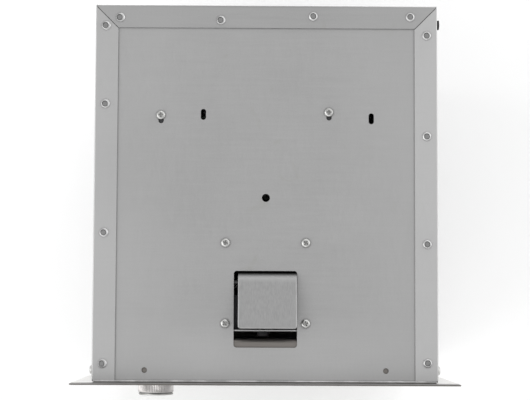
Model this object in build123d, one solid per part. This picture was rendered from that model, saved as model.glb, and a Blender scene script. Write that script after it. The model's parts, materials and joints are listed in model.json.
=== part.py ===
"""A compact through-the-wall cash machine: a riveted sheet steel cabinet behind a stainless fascia.

Millimetres.  +Z is up, the customer stands on the -Y side, and the origin is the centre of the four
anchor holes, in the underside of the base plate.  Each function below builds one sub-part, and the
last block writes every one of them to its own STEP file.
"""

from build123d import *
import os
from math import acos, cos, pi, radians, sin, sqrt, tan

# ------------------------------------------------------------------ driving sizes
CABINET_W = 300.0
CABINET_D = 330.0
CABINET_H = 420.0
SHEET = 1.2  # cabinet and fascia sheet
BASE_T = 3.0  # base plate
LAP = 20.0  # width of the folded laps round the top and bottom
SIDE_OVERHANG = 17.0  # how far the fascia reaches past the cabinet, each side
END_OVERHANG = 20.0  # the same, above and below
SHADOW_GAP = 2.1  # between the fascia's back and the cabinet's front edges
FIT = 0.3  # clearance between folded sheets
MITRE_GAP = 0.9  # left open along the laps' mitres, measured along the side

HALF_W = CABINET_W / 2
FRONT = -CABINET_D / 2  # the fascia's back face, which lies on the wall
BACK = CABINET_D / 2
TOP = CABINET_H
FACE = FRONT - SHEET  # the fascia's front face
SHELL_FRONT = FRONT + SHADOW_GAP
FASCIA_X = HALF_W + SIDE_OVERHANG
FASCIA_LOW, FASCIA_HIGH = -END_OVERHANG, TOP + END_OVERHANG

# fasteners
RIVET_HEAD_R, RIVET_HEAD_H, RIVET_R, RIVET_HOLE_R = 4.0, 1.3, 1.95, 2.05
SCREW_HEAD_R, SCREW_HEAD_H, SCREW_R, SCREW_HOLE_R = 4.0, 2.6, 1.95, 2.25
RIVETS_LEFT = (16.3, 129.6, 242.5, 311.6)  # depths behind the wall face, along the left lap
RIVETS_RIGHT = (17.4, 120.5, 215.0, 304.0)
RIVETS_REAR = ((-128.3, 319.0), (-40.0, 316.9), (41.0, 320.6), (126.3, 320.4))  # across the rear lap
LAP_CENTRE = HALF_W - 9.3
REAR_LAP_CENTRE = CABINET_D - LAP / 2
SIDE_SCREW_DEPTH, SIDE_SCREW_DROP = 10.8, 9.0

# retaining latch in the top panel
LATCH_CENTRE_D, LATCH_PITCH = 86.2, 70.0
OPENING_W, OPENING_FRONT, OPENING_REAR = 55.0, 30.5, 96.8
TONGUE_W, TONGUE_SHIFT, TONGUE_TIP = 50.8, 1.7, 47.2
TONGUE_RISE = 12.0  # of the free end above the top
TONGUE_REAR = 95.2
PIVOT_D, PIVOT_DROP, PIVOT_R = 87.5, 11.0, 2.0
LATCH_WALL_D, WALL_SCREW_X, WALL_SCREW_DROP = 44.6, -2.0, 11.5

# slots that the board bracket hangs from: outer pair, inner pair
SLOT_X, SLOT_D, SLOT_W, SLOT_L = (92.0, 55.0), (230.4, 233.6), 4.6, 9.6
RAIL_SCREWS = ((-92.2, 232.8), (54.8, 235.8))

# fascia layout: centres as (x, z)
SCREEN_X, SCREEN_Z, SCREEN_W, SCREEN_H = 0.0, 328.0, 222.0, 140.0
PAD_X, PAD_Z, PAD_W, PAD_H = 0.0, 200.0, 84.0, 98.0
KEY_PITCH_X, KEY_PITCH_Z, KEY_W, KEY_H, KEY_TRAVEL = 25.0, 22.0, 20.0, 17.0, 1.5
DIAL_X, DIAL_Z, DIAL_R, DIAL_L = -108.5, 200.0, 17.8, 20.2
CARD_X, CARD_Z, CARD_W, CARD_H = 100.0, 200.0, 76.0, 50.0
CASH_X, CASH_Z, CASH_W, CASH_H = -45.0, 107.0, 190.0, 46.0
SLIP_X, SLIP_Z, SLIP_W, SLIP_H = 100.0, 107.0, 84.0, 30.0
SPEAKER_X, SPEAKER_Z, SPEAKER_R = 100.0, 48.0, 19.0

# note path
CASSETTE_X, CASSETTE_W, CASSETTE_LOW, CASSETTE_HIGH = -50.0, 180.0, 12.0, 104.0
CASSETTE_FRONT_D = 104.0
FEED_D, FEED_Z, FEED_R = 88.0, 88.0, 13.0
GEAR_MODULE, PINION_TEETH, FEED_TEETH, GEAR_W = 1.0, 13, 38, 5.0
PINION_OFFSET = GEAR_MODULE * (PINION_TEETH + FEED_TEETH) / 2 / sqrt(2)

# rear
DOOR_X, DOOR_LOW, DOOR_HIGH = 128.0, 118.0, 340.0  # the window that the service door covers
DOOR_LIP, DOOR_T = 5.0, 1.5
HINGE_X, HINGE_D, HINGE_R, HINGE_PIN_R = -137.5, 335.0, 3.2, 1.5
HINGE_Z = (160.0, 298.0)
LOCK_X, LOCK_Z, LOCK_R = 112.0, 229.0, 9.5
FAN_X, FAN_Z, FAN_SIDE, FAN_DEPTH, FAN_SPINDLE_R = 100.0, 56.0, 80.0, 25.0, 2.0
INLET_X, INLET_Z = 95.0, 378.0

ANCHOR_X, ANCHOR_Y, ANCHOR_R = 100.0, 110.0, 4.5


# ------------------------------------------------------------------ small helpers
def at(depth):
    """Y of a point that lies depth behind the fascia's back face."""
    return FRONT + depth


def block(x0, x1, y0, y1, z0, z1):
    return Pos((x0 + x1) / 2, (y0 + y1) / 2, (z0 + z1) / 2) * Box(x1 - x0, y1 - y0, z1 - z0)


def rod_x(x0, x1, y, z, r):
    return Pos((x0 + x1) / 2, y, z) * Rot(Y=90) * Cylinder(r, x1 - x0)


def rod_y(y0, y1, x, z, r):
    return Pos(x, (y0 + y1) / 2, z) * Rot(X=90) * Cylinder(r, y1 - y0)


def rod_z(z0, z1, x, y, r):
    return Pos(x, y, (z0 + z1) / 2) * Cylinder(r, z1 - z0)


def plan(points, z0, z1):
    """A prism whose plan is the closed polygon."""
    face = make_face(Polyline(*points, close=True))
    return Pos(0, 0, z0) * extrude(face, amount=z1 - z0, dir=(0, 0, 1))


def profile_x(points, x0, x1):
    """A prism along X whose section is the closed polygon of (y, z) points."""
    face = make_face(Polyline(*[(x0, y, z) for y, z in points], close=True))
    return extrude(face, amount=x1 - x0, dir=(1, 0, 0))


def upright(x, y, z):
    """The plane across the cabinet at (x, y, z), looking back."""
    return Plane((x, y, z), x_dir=(1, 0, 0), z_dir=(0, 1, 0))


def rounded_y(x, z, w, h, r, y0, y1):
    """A plate with rounded corners in the XZ plane, from y0 to y1."""
    sketch = upright(x, y0, z) * RectangleRounded(w, h, r)
    return extrude(sketch, amount=y1 - y0, dir=(0, 1, 0))


def slot_z(x, y, w, length, z0, z1):
    """A slot through z0..z1 that runs along Y."""
    straight = length - w
    return (
        block(x - w / 2, x + w / 2, y - straight / 2, y + straight / 2, z0, z1)
        + rod_z(z0, z1, x, y - straight / 2, w / 2)
        + rod_z(z0, z1, x, y + straight / 2, w / 2)
    )


def edges_along(part, axis, **where):
    """The straight edges of part along axis whose centres have the stated coordinates."""
    return [
        e
        for e in part.edges().filter_by(axis)
        if all(abs(getattr(e.center(), k) - v) < 0.01 for k, v in where.items())
    ]


def write(node, *solids):
    shape = solids[0] if len(solids) == 1 else Compound(children=list(solids))
    export_step(shape, f"parts/{node}.step")


# ------------------------------------------------------------------ fasteners
def blind_rivet(stack):
    """Head up, its underside on Z = 0, set through a stack of sheets: dome, pulled stem and bulb."""
    stem_r, stem_drop, bulb_r, bulb_h = 2.4, 0.5, 3.0, 3.6
    dome = Polyline((0, -stack - bulb_h), (bulb_r - 0.7, -stack - bulb_h), (bulb_r, -stack - bulb_h / 2),
                    (RIVET_R, -stack), (RIVET_R, 0), (RIVET_HEAD_R, 0), (RIVET_HEAD_R, 0.25))
    crown = ThreePointArc((RIVET_HEAD_R, 0.25), (3.3, 0.95), (stem_r, RIVET_HEAD_H))
    stem = Polyline((stem_r, RIVET_HEAD_H), (stem_r, RIVET_HEAD_H - stem_drop),
                    (0, RIVET_HEAD_H - stem_drop), (0, -stack - bulb_h))
    section = Plane.XZ * make_face(dome + crown + stem)
    return revolve(section, Axis.Z)


def pan_screw(shank):
    """Head up, its underside on Z = 0, with a cross recess."""
    side_h, recess_w, recess_l, recess_d = 0.9, 0.9, 4.2, 1.5
    outline = Polyline((0, SCREW_HEAD_H), (0, -shank), (SCREW_R, -shank), (SCREW_R, 0),
                       (SCREW_HEAD_R, 0), (SCREW_HEAD_R, side_h))
    crown = ThreePointArc((SCREW_HEAD_R, side_h), (2.9, 2.05), (0, SCREW_HEAD_H))
    head = revolve(Plane.XZ * make_face(outline + crown), Axis.Z)
    for turn in (0, 90):
        bar = Box(recess_l, recess_w, 2 * recess_d)
        head -= Pos(0, 0, SCREW_HEAD_H) * Rot(Z=turn) * bar
    return head


def on_top(x, depth, z=TOP):
    return Pos(x, at(depth), z)


def on_side(side, depth, z):
    """A fastener's place on a side wall: side is -1 for the left and 1 for the right."""
    return Pos(side * HALF_W, at(depth), z) * Rot(Y=90 * side)


def on_back(x, z):
    return Pos(x, BACK, z) * Rot(X=-90)


def lap_rivet_places():
    """(x, depth) of each rivet through the laps round the top."""
    left = [(-LAP_CENTRE, d) for d in RIVETS_LEFT]
    right = [(LAP_CENTRE, d) for d in RIVETS_RIGHT]
    return left + right + list(RIVETS_REAR)


REAR_RIVET_Z = (60.0, 150.0, 240.0, 330.0)
REAR_RIVET_DEPTH = CABINET_D - 10.0


def blind_rivets():
    top = [on_top(x, d) * blind_rivet(2 * SHEET) for x, d in lap_rivet_places()]
    rear = [
        on_side(side, REAR_RIVET_DEPTH, z) * blind_rivet(2 * SHEET + FIT)
        for side in (-1, 1)
        for z in REAR_RIVET_Z
    ]
    return top + rear


SIDE_SCREW_Z = (TOP - SIDE_SCREW_DROP, 290.0, 150.0, 24.0)
EARTH_SCREW_DEPTH = 315.0
LATCH_SCREWS = [
    (sx * LATCH_PITCH / 2, LATCH_CENTRE_D + sy * LATCH_PITCH / 2) for sx in (-1, 1) for sy in (-1, 1)
]


def cabinet_screws():
    """All the pan heads, and the countersunk screws under the base."""
    on_panel = TOP - SHEET
    latch = [on_top(x, d, on_panel) * Rot(Z=20 * x) * pan_screw(8) for x, d in LATCH_SCREWS]
    rail = [on_top(x, d, on_panel) * Rot(Z=x) * pan_screw(8) for x, d in RAIL_SCREWS]
    side = [
        on_side(s, SIDE_SCREW_DEPTH, z) * Rot(Z=z) * pan_screw(7) for s in (-1, 1) for z in SIDE_SCREW_Z
    ]
    return latch + rail + side + base_screws()


def earth_screw():
    """A dark hexagon-headed screw at the top rear of the right side."""
    head = extrude(RegularPolygon(4.4, 6), amount=2.4)
    washer = Pos(0, 0, 0.3) * Cylinder(5.0, 0.6)
    shank = Pos(0, 0, -4.5) * Cylinder(SCREW_R, 9)
    return on_side(1, EARTH_SCREW_DEPTH, TOP - SIDE_SCREW_DROP) * (head + washer + shank)


def latch_wall_screw():
    """A dark cheese-headed screw through the latch bracket's front wall."""
    head_r, head_h, shank_l = 5.0, 4.4, 5.0
    head = fillet(rod_z(0, head_h, 0, 0, head_r).edges().sort_by(Axis.Z)[-1], 1.0)
    slot = Pos(0, 0, head_h) * Box(2 * head_r + 1, 1.2, 2.4)
    shank = rod_z(-shank_l, 0, 0, 0, SCREW_R)
    return Pos(WALL_SCREW_X, at(LATCH_WALL_D), TOP - WALL_SCREW_DROP) * Rot(X=90) * (head - slot + shank)


def base_screws():
    """Countersunk screws up through the base plate into the bottom laps."""
    cone = Pos(0, 0, 1.2) * Cone(4.0, SCREW_R, 2.4)
    shank = Pos(0, 0, 4.5) * Cylinder(SCREW_R, 9)
    recess = Box(3.6, 0.8, 2.4) + Box(0.8, 3.6, 2.4)
    screw = cone + shank - recess
    return [Pos(x, y, 0) * screw for x, y in base_screw_places()]


def base_screw_places():
    sides = [(s * LAP_CENTRE, at(d)) for s in (-1, 1) for d in (30.0, 130.0, 230.0)]
    return sides + [(x, at(REAR_LAP_CENTRE)) for x in (-100.0, 100.0)]


# ------------------------------------------------------------------ cabinet
def side_panel(side):
    """A side wall with a lap folded inwards at the top and bottom, mitred at the rear."""
    outer, inner = side * HALF_W, side * (HALF_W - SHEET)
    lap_edge = side * (HALF_W - LAP)
    wall = block(min(outer, inner), max(outer, inner), SHELL_FRONT, BACK, BASE_T, TOP)
    corners = [(lap_edge, SHELL_FRONT), (outer, SHELL_FRONT),
               (outer, BACK - MITRE_GAP), (lap_edge, BACK - LAP - MITRE_GAP)]
    panel = wall + plan(corners, TOP - SHEET, TOP) + plan(corners, BASE_T, BASE_T + SHEET)
    bends = edges_along(panel, Axis.Y, X=outer, Z=TOP) + edges_along(panel, Axis.Y, X=outer, Z=BASE_T)
    panel = fillet(bends, 1.1)
    for x, d in lap_rivet_places():
        if x * side > HALF_W - LAP:
            panel -= rod_z(TOP - 3, TOP + 1, x, at(d), RIVET_HOLE_R)
    for x, y in base_screw_places():
        if x * side > HALF_W - LAP:
            panel -= rod_z(0, BASE_T + 3, x, y, SCREW_HOLE_R)
    ends = sorted((side * (HALF_W - 5), side * (HALF_W + 5)))
    for z in SIDE_SCREW_Z:
        panel -= rod_x(*ends, at(SIDE_SCREW_DEPTH), z, SCREW_HOLE_R)
    for z in REAR_RIVET_Z:
        panel -= rod_x(*ends, at(REAR_RIVET_DEPTH), z, RIVET_HOLE_R)
    if side > 0:
        panel -= rod_x(*ends, at(EARTH_SCREW_DEPTH), TOP - SIDE_SCREW_DROP, SCREW_HOLE_R)
    return panel


def fan_grille(y0, y1):
    """The slots in front of the fan, cut short by the fan's circle."""
    reach, slot_h, pitch = FAN_SIDE / 2 - 4, 4.4, 8.0
    slots = []
    for n in range(-4, 5):
        half = sqrt(reach**2 - (n * pitch) ** 2) if abs(n * pitch) < reach else 0
        if half > slot_h:
            slots.append(rounded_y(FAN_X, FAN_Z + n * pitch, 2 * half, slot_h, slot_h / 2 - 0.01, y0, y1))
    return slots


def inlet_cut(y0, y1):
    return rounded_y(INLET_X, INLET_Z, 28.0, 21.0, 2.0, y0, y1)


def back_panel():
    """The rear wall: laps at the top and bottom, returns down the sides, and three openings."""
    half = HALF_W - SHEET - FIT
    wall = block(-half, half, BACK - SHEET, BACK, BASE_T, TOP)
    run = HALF_W - LAP
    cut = BACK - (HALF_W - half)
    corners = [(half, BACK), (half, cut), (run, BACK - LAP),
               (-run, BACK - LAP), (-half, cut), (-half, BACK)]
    panel = wall + plan(corners, TOP - SHEET, TOP) + plan(corners, BASE_T, BASE_T + SHEET)
    returns_low, returns_high = BASE_T + SHEET + 2, TOP - 3 * SHEET
    for side in (-1, 1):
        xs = sorted((side * half, side * (half - SHEET)))
        panel += block(*xs, BACK - LAP, BACK, returns_low, returns_high)
    bends = edges_along(panel, Axis.X, Y=BACK, Z=TOP) + edges_along(panel, Axis.X, Y=BACK, Z=BASE_T)
    panel = fillet(bends, 1.1)
    y0, y1 = BACK - 3, BACK + 3
    panel -= rounded_y(0, (DOOR_LOW + DOOR_HIGH) / 2, 2 * DOOR_X, DOOR_HIGH - DOOR_LOW, 4, y0, y1)
    panel -= rounded_y(CASSETTE_X, (CASSETTE_LOW + CASSETTE_HIGH) / 2, CASSETTE_W + 3,
                       CASSETTE_HIGH - CASSETTE_LOW + 3, 2, y0, y1)
    panel -= inlet_cut(y0, y1)
    for cutter in fan_grille(y0, y1):
        panel -= cutter
    for x, d in lap_rivet_places():
        if abs(x) < HALF_W - LAP:
            panel -= rod_z(TOP - 3, TOP + 1, x, at(d), RIVET_HOLE_R)
    for x, y in base_screw_places():
        if abs(x) < HALF_W - LAP:
            panel -= rod_z(0, BASE_T + 3, x, y, SCREW_HOLE_R)
    for z in REAR_RIVET_Z:
        panel -= rod_x(-HALF_W, HALF_W, at(REAR_RIVET_DEPTH), z, RIVET_HOLE_R)
    panel -= rod_x(0, HALF_W, at(EARTH_SCREW_DEPTH), TOP - SIDE_SCREW_DROP, SCREW_HOLE_R)
    return panel


def top_panel():
    """The flat top under the laps, with the latch opening, four slots and the screw holes."""
    half, low, high = HALF_W - SHEET - FIT, TOP - 2 * SHEET, TOP - SHEET
    panel = block(-half, half, SHELL_FRONT, BACK - SHEET - FIT, low, high)
    opening = block(-OPENING_W / 2, OPENING_W / 2, at(OPENING_FRONT), at(OPENING_REAR), low - 1, high + 1)
    panel -= fillet(opening.edges().filter_by(Axis.Z), 2.5)
    for x, d in zip(SLOT_X, SLOT_D):
        for side in (-1, 1):
            panel -= slot_z(side * x, at(d), SLOT_W, SLOT_L, low - 1, high + 1)
    holes = [(x, d, RIVET_HOLE_R) for x, d in lap_rivet_places()]
    holes += [(x, d, SCREW_HOLE_R) for x, d in LATCH_SCREWS]
    holes += [(0.0, 160.5, 3.5), (-104.5, 10.7, 2.4), (104.5, 10.7, 2.4)]
    for x, d, r in holes:
        panel -= rod_z(low - 1, high + 1, x, at(d), r)
    return panel


def base_plate():
    """The thick plate that the cabinet stands on and is bolted down through, with the cassette's rails."""
    half = HALF_W - 0.2
    plate = block(-half, half, SHELL_FRONT, BACK - 0.2, 0, BASE_T)
    for rail in cassette_rails():
        plate += rail
    for x in (-ANCHOR_X, ANCHOR_X):
        for y in (-ANCHOR_Y, ANCHOR_Y):
            plate -= rod_z(-1, BASE_T + 1, x, y, ANCHOR_R)
    for x, y in base_screw_places():
        plate -= rod_z(-1, BASE_T + 1, x, y, SCREW_HOLE_R)
        plate -= Pos(x, y, 1.2) * Cone(4.15, 2.1, 2.4)
    return plate


def fascia_plate():
    """The stainless front: a flat plate with a welded ring of returns that fits inside the cabinet."""
    centre_z, height = (FASCIA_LOW + FASCIA_HIGH) / 2, FASCIA_HIGH - FASCIA_LOW
    plate = rounded_y(0, centre_z, 2 * FASCIA_X, height, 1.5, FACE, FRONT)
    half = HALF_W - SHEET - FIT
    low, high = BASE_T + SHEET + 0.4, TOP - 2 * SHEET - 0.2
    corner_depth, side_depth, top_depth, lip, bend_r = 11.0, 20.0, 38.0, 8.0, 4.0
    ring = block(-half, half, FRONT, at(side_depth), low, high)
    ring -= block(-half + SHEET, half - SHEET, FRONT - 1, at(side_depth) + 1, low + SHEET, high - SHEET)
    run = HALF_W - LAP - 1.0
    for side in (-1, 1):
        xs = sorted((side * run, side * (half - SHEET)))
        ring -= block(*xs, at(corner_depth), at(side_depth) + 1, high - SHEET - 1, high + 1)
    plate += ring
    top_section = [(FRONT, high), (at(top_depth), high),
                   (at(top_depth), high - lip), (at(top_depth) - SHEET, high - lip),
                   (at(top_depth) - SHEET, high - SHEET), (FRONT, high - SHEET)]
    top_return = profile_x(top_section, -run, run)
    inner_bend = edges_along(top_return, Axis.X, Y=at(top_depth) - SHEET, Z=high - SHEET)
    top_return = fillet(inner_bend, bend_r - SHEET)
    top_return = fillet(edges_along(top_return, Axis.X, Y=at(top_depth), Z=high), bend_r)
    plate += top_return
    y0, y1 = FACE - 1, FRONT + 1
    plate -= rounded_y(SCREEN_X, SCREEN_Z, SCREEN_W, SCREEN_H, 4, y0, y1)
    plate -= rounded_y(PAD_X, PAD_Z, PAD_W, PAD_H, 3, y0, y1)
    plate -= rounded_y(CARD_X, CARD_Z, CARD_W - 12, CARD_H - 14, 3, y0, y1)
    plate -= rounded_y(CASH_X, CASH_Z, CASH_W - 12, CASH_H - 12, 3, y0, y1)
    plate -= rounded_y(SLIP_X, SLIP_Z, SLIP_W - 14, SLIP_H - 14, 3, y0, y1)
    plate -= rod_y(y0, y1, DIAL_X, DIAL_Z, 4.8)
    for x, z in speaker_holes():
        plate -= rod_y(y0, y1, x, z, 1.6)
    for side in (-1, 1):
        ends = sorted((side * (half - 4), side * (half + 1)))
        for z in SIDE_SCREW_Z:
            plate -= rod_x(*ends, at(SIDE_SCREW_DEPTH), z, SCREW_R + 0.05)
    return plate


def speaker_holes():
    """A hexagonal rosette of sound holes."""
    pitch, rings = 6.0, 2
    holes = []
    for row in range(-rings, rings + 1):
        count = 2 * rings + 1 - abs(row)
        z = SPEAKER_Z + row * pitch * sin(radians(60))
        for n in range(count):
            holes.append((SPEAKER_X + (n - (count - 1) / 2) * pitch, z))
    return holes


def speaker():
    """A round loudspeaker behind the rosette: basket, magnet and two tabs."""
    rim, depth, magnet_r = 3.0, 14.0, 12.0
    basket = rod_y(FRONT, at(rim), SPEAKER_X, SPEAKER_Z, SPEAKER_R)
    cone_shell = Plane((SPEAKER_X, at(rim), SPEAKER_Z), x_dir=(1, 0, 0), z_dir=(0, 1, 0))
    magnet_end = cone_shell.offset(depth - 7 - rim)
    basket += loft([cone_shell * Circle(SPEAKER_R - 1), magnet_end * Circle(magnet_r - 1)])
    basket += rod_y(at(depth - 7), at(depth), SPEAKER_X, SPEAKER_Z, magnet_r)
    basket -= rod_y(FRONT - 1, at(rim - 1), SPEAKER_X, SPEAKER_Z, SPEAKER_R - 2.5)
    for x in (SPEAKER_X - SPEAKER_R, SPEAKER_X + SPEAKER_R):
        basket += block(x - 3.5, x + 3.5, FRONT, at(1.2), SPEAKER_Z - 4, SPEAKER_Z + 4)
    return basket


# ------------------------------------------------------------------ retaining latch
PIVOT_Y, PIVOT_Z = at(PIVOT_D), TOP - PIVOT_DROP
EAR_X, EAR_T, SPRING_ROOM = 30.5, 1.5, 16.0


def latch_bracket():
    """A folded tray under the top panel: a screwed rim, a front wall and two ears for the pin."""
    high, rim, wall_drop = TOP - 2 * SHEET, 43.0, 26.0
    front, rear = at(LATCH_WALL_D), at(129.0)
    tray = block(-rim, rim, front, rear, high - SHEET, high)
    tray -= block(-OPENING_W / 2, OPENING_W / 2, front + SHEET, at(OPENING_REAR) + 2, high - 5, high + 1)
    tray += block(-EAR_X - EAR_T, EAR_X + EAR_T, front, front + SHEET, high - wall_drop, high)
    for side in (-1, 1):
        xs = sorted((side * EAR_X, side * (EAR_X + EAR_T)))
        ear = block(*xs, front, at(108.0), high - wall_drop, high)
        tray += ear - rod_x(*xs, PIVOT_Y, PIVOT_Z, PIVOT_R + 0.05)
    floor = block(-EAR_X, EAR_X, front, at(76.0), high - wall_drop, high - wall_drop + SHEET)
    tray += floor
    for x, d in LATCH_SCREWS:
        tray -= rod_z(high - 3, high + 1, x, at(d), SCREW_R + 0.05)
    return tray - rod_y(front - 1, front + SHEET + 1, WALL_SCREW_X, TOP - WALL_SCREW_DROP, SCREW_R + 0.05)


def latch_pin():
    pin = rod_x(-EAR_X - 3.5, EAR_X + 3.0, PIVOT_Y, PIVOT_Z, PIVOT_R)
    return pin + rod_x(-EAR_X - 3.5, -EAR_X - EAR_T - 0.1, PIVOT_Y, PIVOT_Z, PIVOT_R + 1.2)


def latch_tongue():
    """A spring-loaded tongue: a knuckle on the pin, a short leg and a ramp that rises to the front."""
    bend_r, knuckle_r = 7.0, 3.6
    slope = radians(13.5)
    tip = (at(TONGUE_TIP), TOP + TONGUE_RISE + SHEET)
    bend_y = at(TONGUE_REAR) - bend_r + bend_r * sin(slope)
    outer = [tip, (bend_y, tip[1] - (bend_y - tip[0]) * tan(slope))]
    down = sin(slope) * SHEET, cos(slope) * SHEET
    inner = [(y - down[0], z - down[1]) for y, z in outer]
    x0, x1 = TONGUE_SHIFT - TONGUE_W / 2, TONGUE_SHIFT + TONGUE_W / 2
    plate = profile_x([outer[0], outer[1], inner[1], inner[0]], x0, x1)
    centre = (outer[1][0] - sin(slope) * bend_r, outer[1][1] - cos(slope) * bend_r)
    ring = rod_x(x0, x1, *centre, bend_r) - rod_x(x0 - 1, x1 + 1, *centre, bend_r - SHEET)
    reach = 20.0
    wedge = profile_x([centre, (centre[0] + reach * sin(slope), centre[1] + reach * cos(slope)),
                       (centre[0] + reach, centre[1] + reach), (centre[0] + reach, centre[1])], x0, x1)
    bend = ring & wedge
    leg_low = PIVOT_Z - 1
    leg = block(x0, x1, centre[0] + bend_r - SHEET, centre[0] + bend_r, leg_low, centre[1] + 0.01)
    knuckle_x0, knuckle_x1 = x0, x1 - SPRING_ROOM
    knuckle = rod_x(knuckle_x0, knuckle_x1, PIVOT_Y, PIVOT_Z, knuckle_r)
    tongue = plate + bend + leg + knuckle
    tongue += block(knuckle_x0, knuckle_x1, PIVOT_Y, centre[0] + bend_r, leg_low, PIVOT_Z + 2)
    tongue -= rod_x(x0 - 2, x1 + 2, PIVOT_Y, PIVOT_Z, PIVOT_R + 0.06)
    front = tongue.edges().filter_by(lambda e: e.length < SHEET + 0.1).sort_by(Axis.Y)[:2]
    return fillet(front, 2.5)


def latch_spring():
    """A torsion spring wound round the pin beside the knuckle."""
    wire_r, coil_r, pitch, turns = 0.6, 3.3, 1.5, 7
    x0 = TONGUE_SHIFT + TONGUE_W / 2 - SPRING_ROOM + 2
    path = Helix(pitch=pitch, height=pitch * turns, radius=coil_r)
    coil = sweep(Plane(origin=path @ 0, z_dir=path % 0) * Circle(wire_r), path=path)
    return Pos(x0, PIVOT_Y, PIVOT_Z) * Rot(Y=90) * coil


# ------------------------------------------------------------------ electronics
BOARD_TOP, BOARD_W, BOARD_H, BOARD_T = 392.0, 150.0, 92.0, 1.6
BOARD_X = -19.0
BRACKET_D = 226.0


def board_bracket():
    """Hangs from the two screws in the slots and carries the control board on its rear face."""
    high, t = TOP - 2 * SHEET, 1.5
    x0, x1 = BOARD_X - 84, BOARD_X + 84
    bracket = block(x0, x1, at(BRACKET_D), at(BRACKET_D) + 17, high - t, high)
    bracket += block(x0, x1, at(BRACKET_D), at(BRACKET_D) + t, BOARD_TOP - BOARD_H - 6, high)
    for x, d in RAIL_SCREWS:
        bracket -= rod_z(high - 4, high + 1, x, at(d), SCREW_R + 0.05)
    bracket -= slot_z(-SLOT_X[1], at(SLOT_D[1]), SLOT_W + 4, SLOT_L + 5, high - 4, high + 1)
    for x in (x0 + 14, x1 - 14):
        for z in (BOARD_TOP - 6, BOARD_TOP - BOARD_H + 6):
            bracket += rod_y(at(BRACKET_D) + t, at(BRACKET_D) + t + 6, x, z, 3)
    return bracket


def control_board():
    """The board with its heat sink, capacitors and edge connectors."""
    y0 = at(BRACKET_D) + 7.5
    low = BOARD_TOP - BOARD_H
    board = block(BOARD_X - BOARD_W / 2, BOARD_X + BOARD_W / 2, y0, y0 + BOARD_T, low, BOARD_TOP)
    face = y0 + BOARD_T
    sink_x, sink_z = BOARD_X - 32, low + 50
    board += block(sink_x - 19, sink_x + 19, face, face + 3, sink_z - 19, sink_z + 19)
    for n in range(8):
        x = sink_x - 18 + n * 4.8
        board += block(x, x + 1.6, face, face + 14, sink_z - 19, sink_z + 19)
    for n in range(4):
        board += rod_y(face, face + 16, BOARD_X + 12 + 13 * n, low + 74, 5)
    for n in range(5):
        x = BOARD_X - 62 + n * 26
        board += block(x, x + 20, face, face + 9, low + 2, low + 11)
    for n in range(3):
        board += block(BOARD_X + 10, BOARD_X + 56, face, face + 4, low + 22 + 12 * n, low + 30 + 12 * n)
    return board


SHELF_Z, SHELF_D0, SHELF_D1 = 109.0, 150.0, 306.0


def shelf():
    """Divides the note cassette from the electronics, with edges folded up against the side walls."""
    half = HALF_W - SHEET - 0.1
    plate = block(-half, half, at(SHELF_D0), at(SHELF_D1), SHELF_Z, SHELF_Z + SHEET)
    for side in (-1, 1):
        xs = sorted((side * half, side * (half - SHEET)))
        plate += block(*xs, at(SHELF_D0), at(SHELF_D1), SHELF_Z, SHELF_Z + 14)
    return plate


def power_supply():
    """A perforated steel case with a terminal strip at its rear end."""
    x0, x1, d0, d1, z0, z1 = -138.0, -40.0, 156.0, 290.0, SHELF_Z + SHEET, SHELF_Z + 44
    case = fillet(block(x0, x1, at(d0), at(d1), z0, z1).edges().filter_by(Axis.Y), 1.5)
    for row in range(5):
        for column in range(10):
            case -= rod_z(z1 - 2, z1 + 1, x0 + 17 + row * 16, at(d0) + 20 + column * 10.5, 2.6)
    strip = block(x0 + 8, x1 - 8, at(d1), at(d1) + 10, z0 + 3, z0 + 17)
    for n in range(7):
        x = x0 + 14 + n * 11.5
        strip -= block(x, x + 8, at(d1) + 3, at(d1) + 11, z0 + 6, z0 + 18)
    return case + strip


def display_glass():
    return rounded_y(SCREEN_X, SCREEN_Z, SCREEN_W + 14, SCREEN_H + 14, 5, FRONT, FRONT + 3)


def display_module():
    """A metal-backed panel behind the glass, with four fixing lugs."""
    w, h, y0, y1 = SCREEN_W + 10, SCREEN_H + 8, FRONT + 3, FRONT + 15
    module = rounded_y(SCREEN_X, SCREEN_Z, w, h, 3, y0, y1)
    module -= rounded_y(SCREEN_X, SCREEN_Z, w - 16, h - 16, 3, y1 - 2, y1 + 1)
    module += rounded_y(SCREEN_X, SCREEN_Z - 20, 110, 60, 2, y1 - 2, y1 + 4)
    for sx in (-1, 1):
        for sz in (-1, 1):
            x, z = SCREEN_X + sx * (w / 2 + 5), SCREEN_Z + sz * 52
            module += block(min(x - 6, x + 6), max(x - 6, x + 6), y0 + 4, y0 + 6, z - 6, z + 6)
            module -= rod_y(y0, y1, x + sx, z, 2.2)
    return module


# ------------------------------------------------------------------ fascia fittings
def key_places():
    """name: (x, z) of each key, three across and four down."""
    names = ("1", "2", "3", "4", "5", "6", "7", "8", "9", "cancel", "0", "enter")
    places = {}
    for n, name in enumerate(names):
        column, row = n % 3, n // 3
        places[name] = (PAD_X + (column - 1) * KEY_PITCH_X, PAD_Z + (1.5 - row) * KEY_PITCH_Z)
    return places


PAD_PROUD, KEY_PROUD, KEY_BACK = 2.5, 5.0, 6.0


def keypad_housing():
    """The encrypting pad: a raised frame through the fascia and a sealed body behind it."""
    rim = rounded_y(PAD_X, PAD_Z, PAD_W + 8, PAD_H + 8, 5, FACE - PAD_PROUD, FACE)
    rim = fillet(rim.faces().sort_by(Axis.Y)[0].edges(), 1.6)
    body = rounded_y(PAD_X, PAD_Z, PAD_W - 0.6, PAD_H - 0.6, 2.7, FACE, FRONT + 34)
    pad = rim + body
    for x, z in key_places().values():
        pad -= rounded_y(x, z, KEY_W + 0.6, KEY_H + 0.6, 2.3, FACE - PAD_PROUD - 1, FRONT + KEY_BACK + 3)
    return pad


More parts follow.
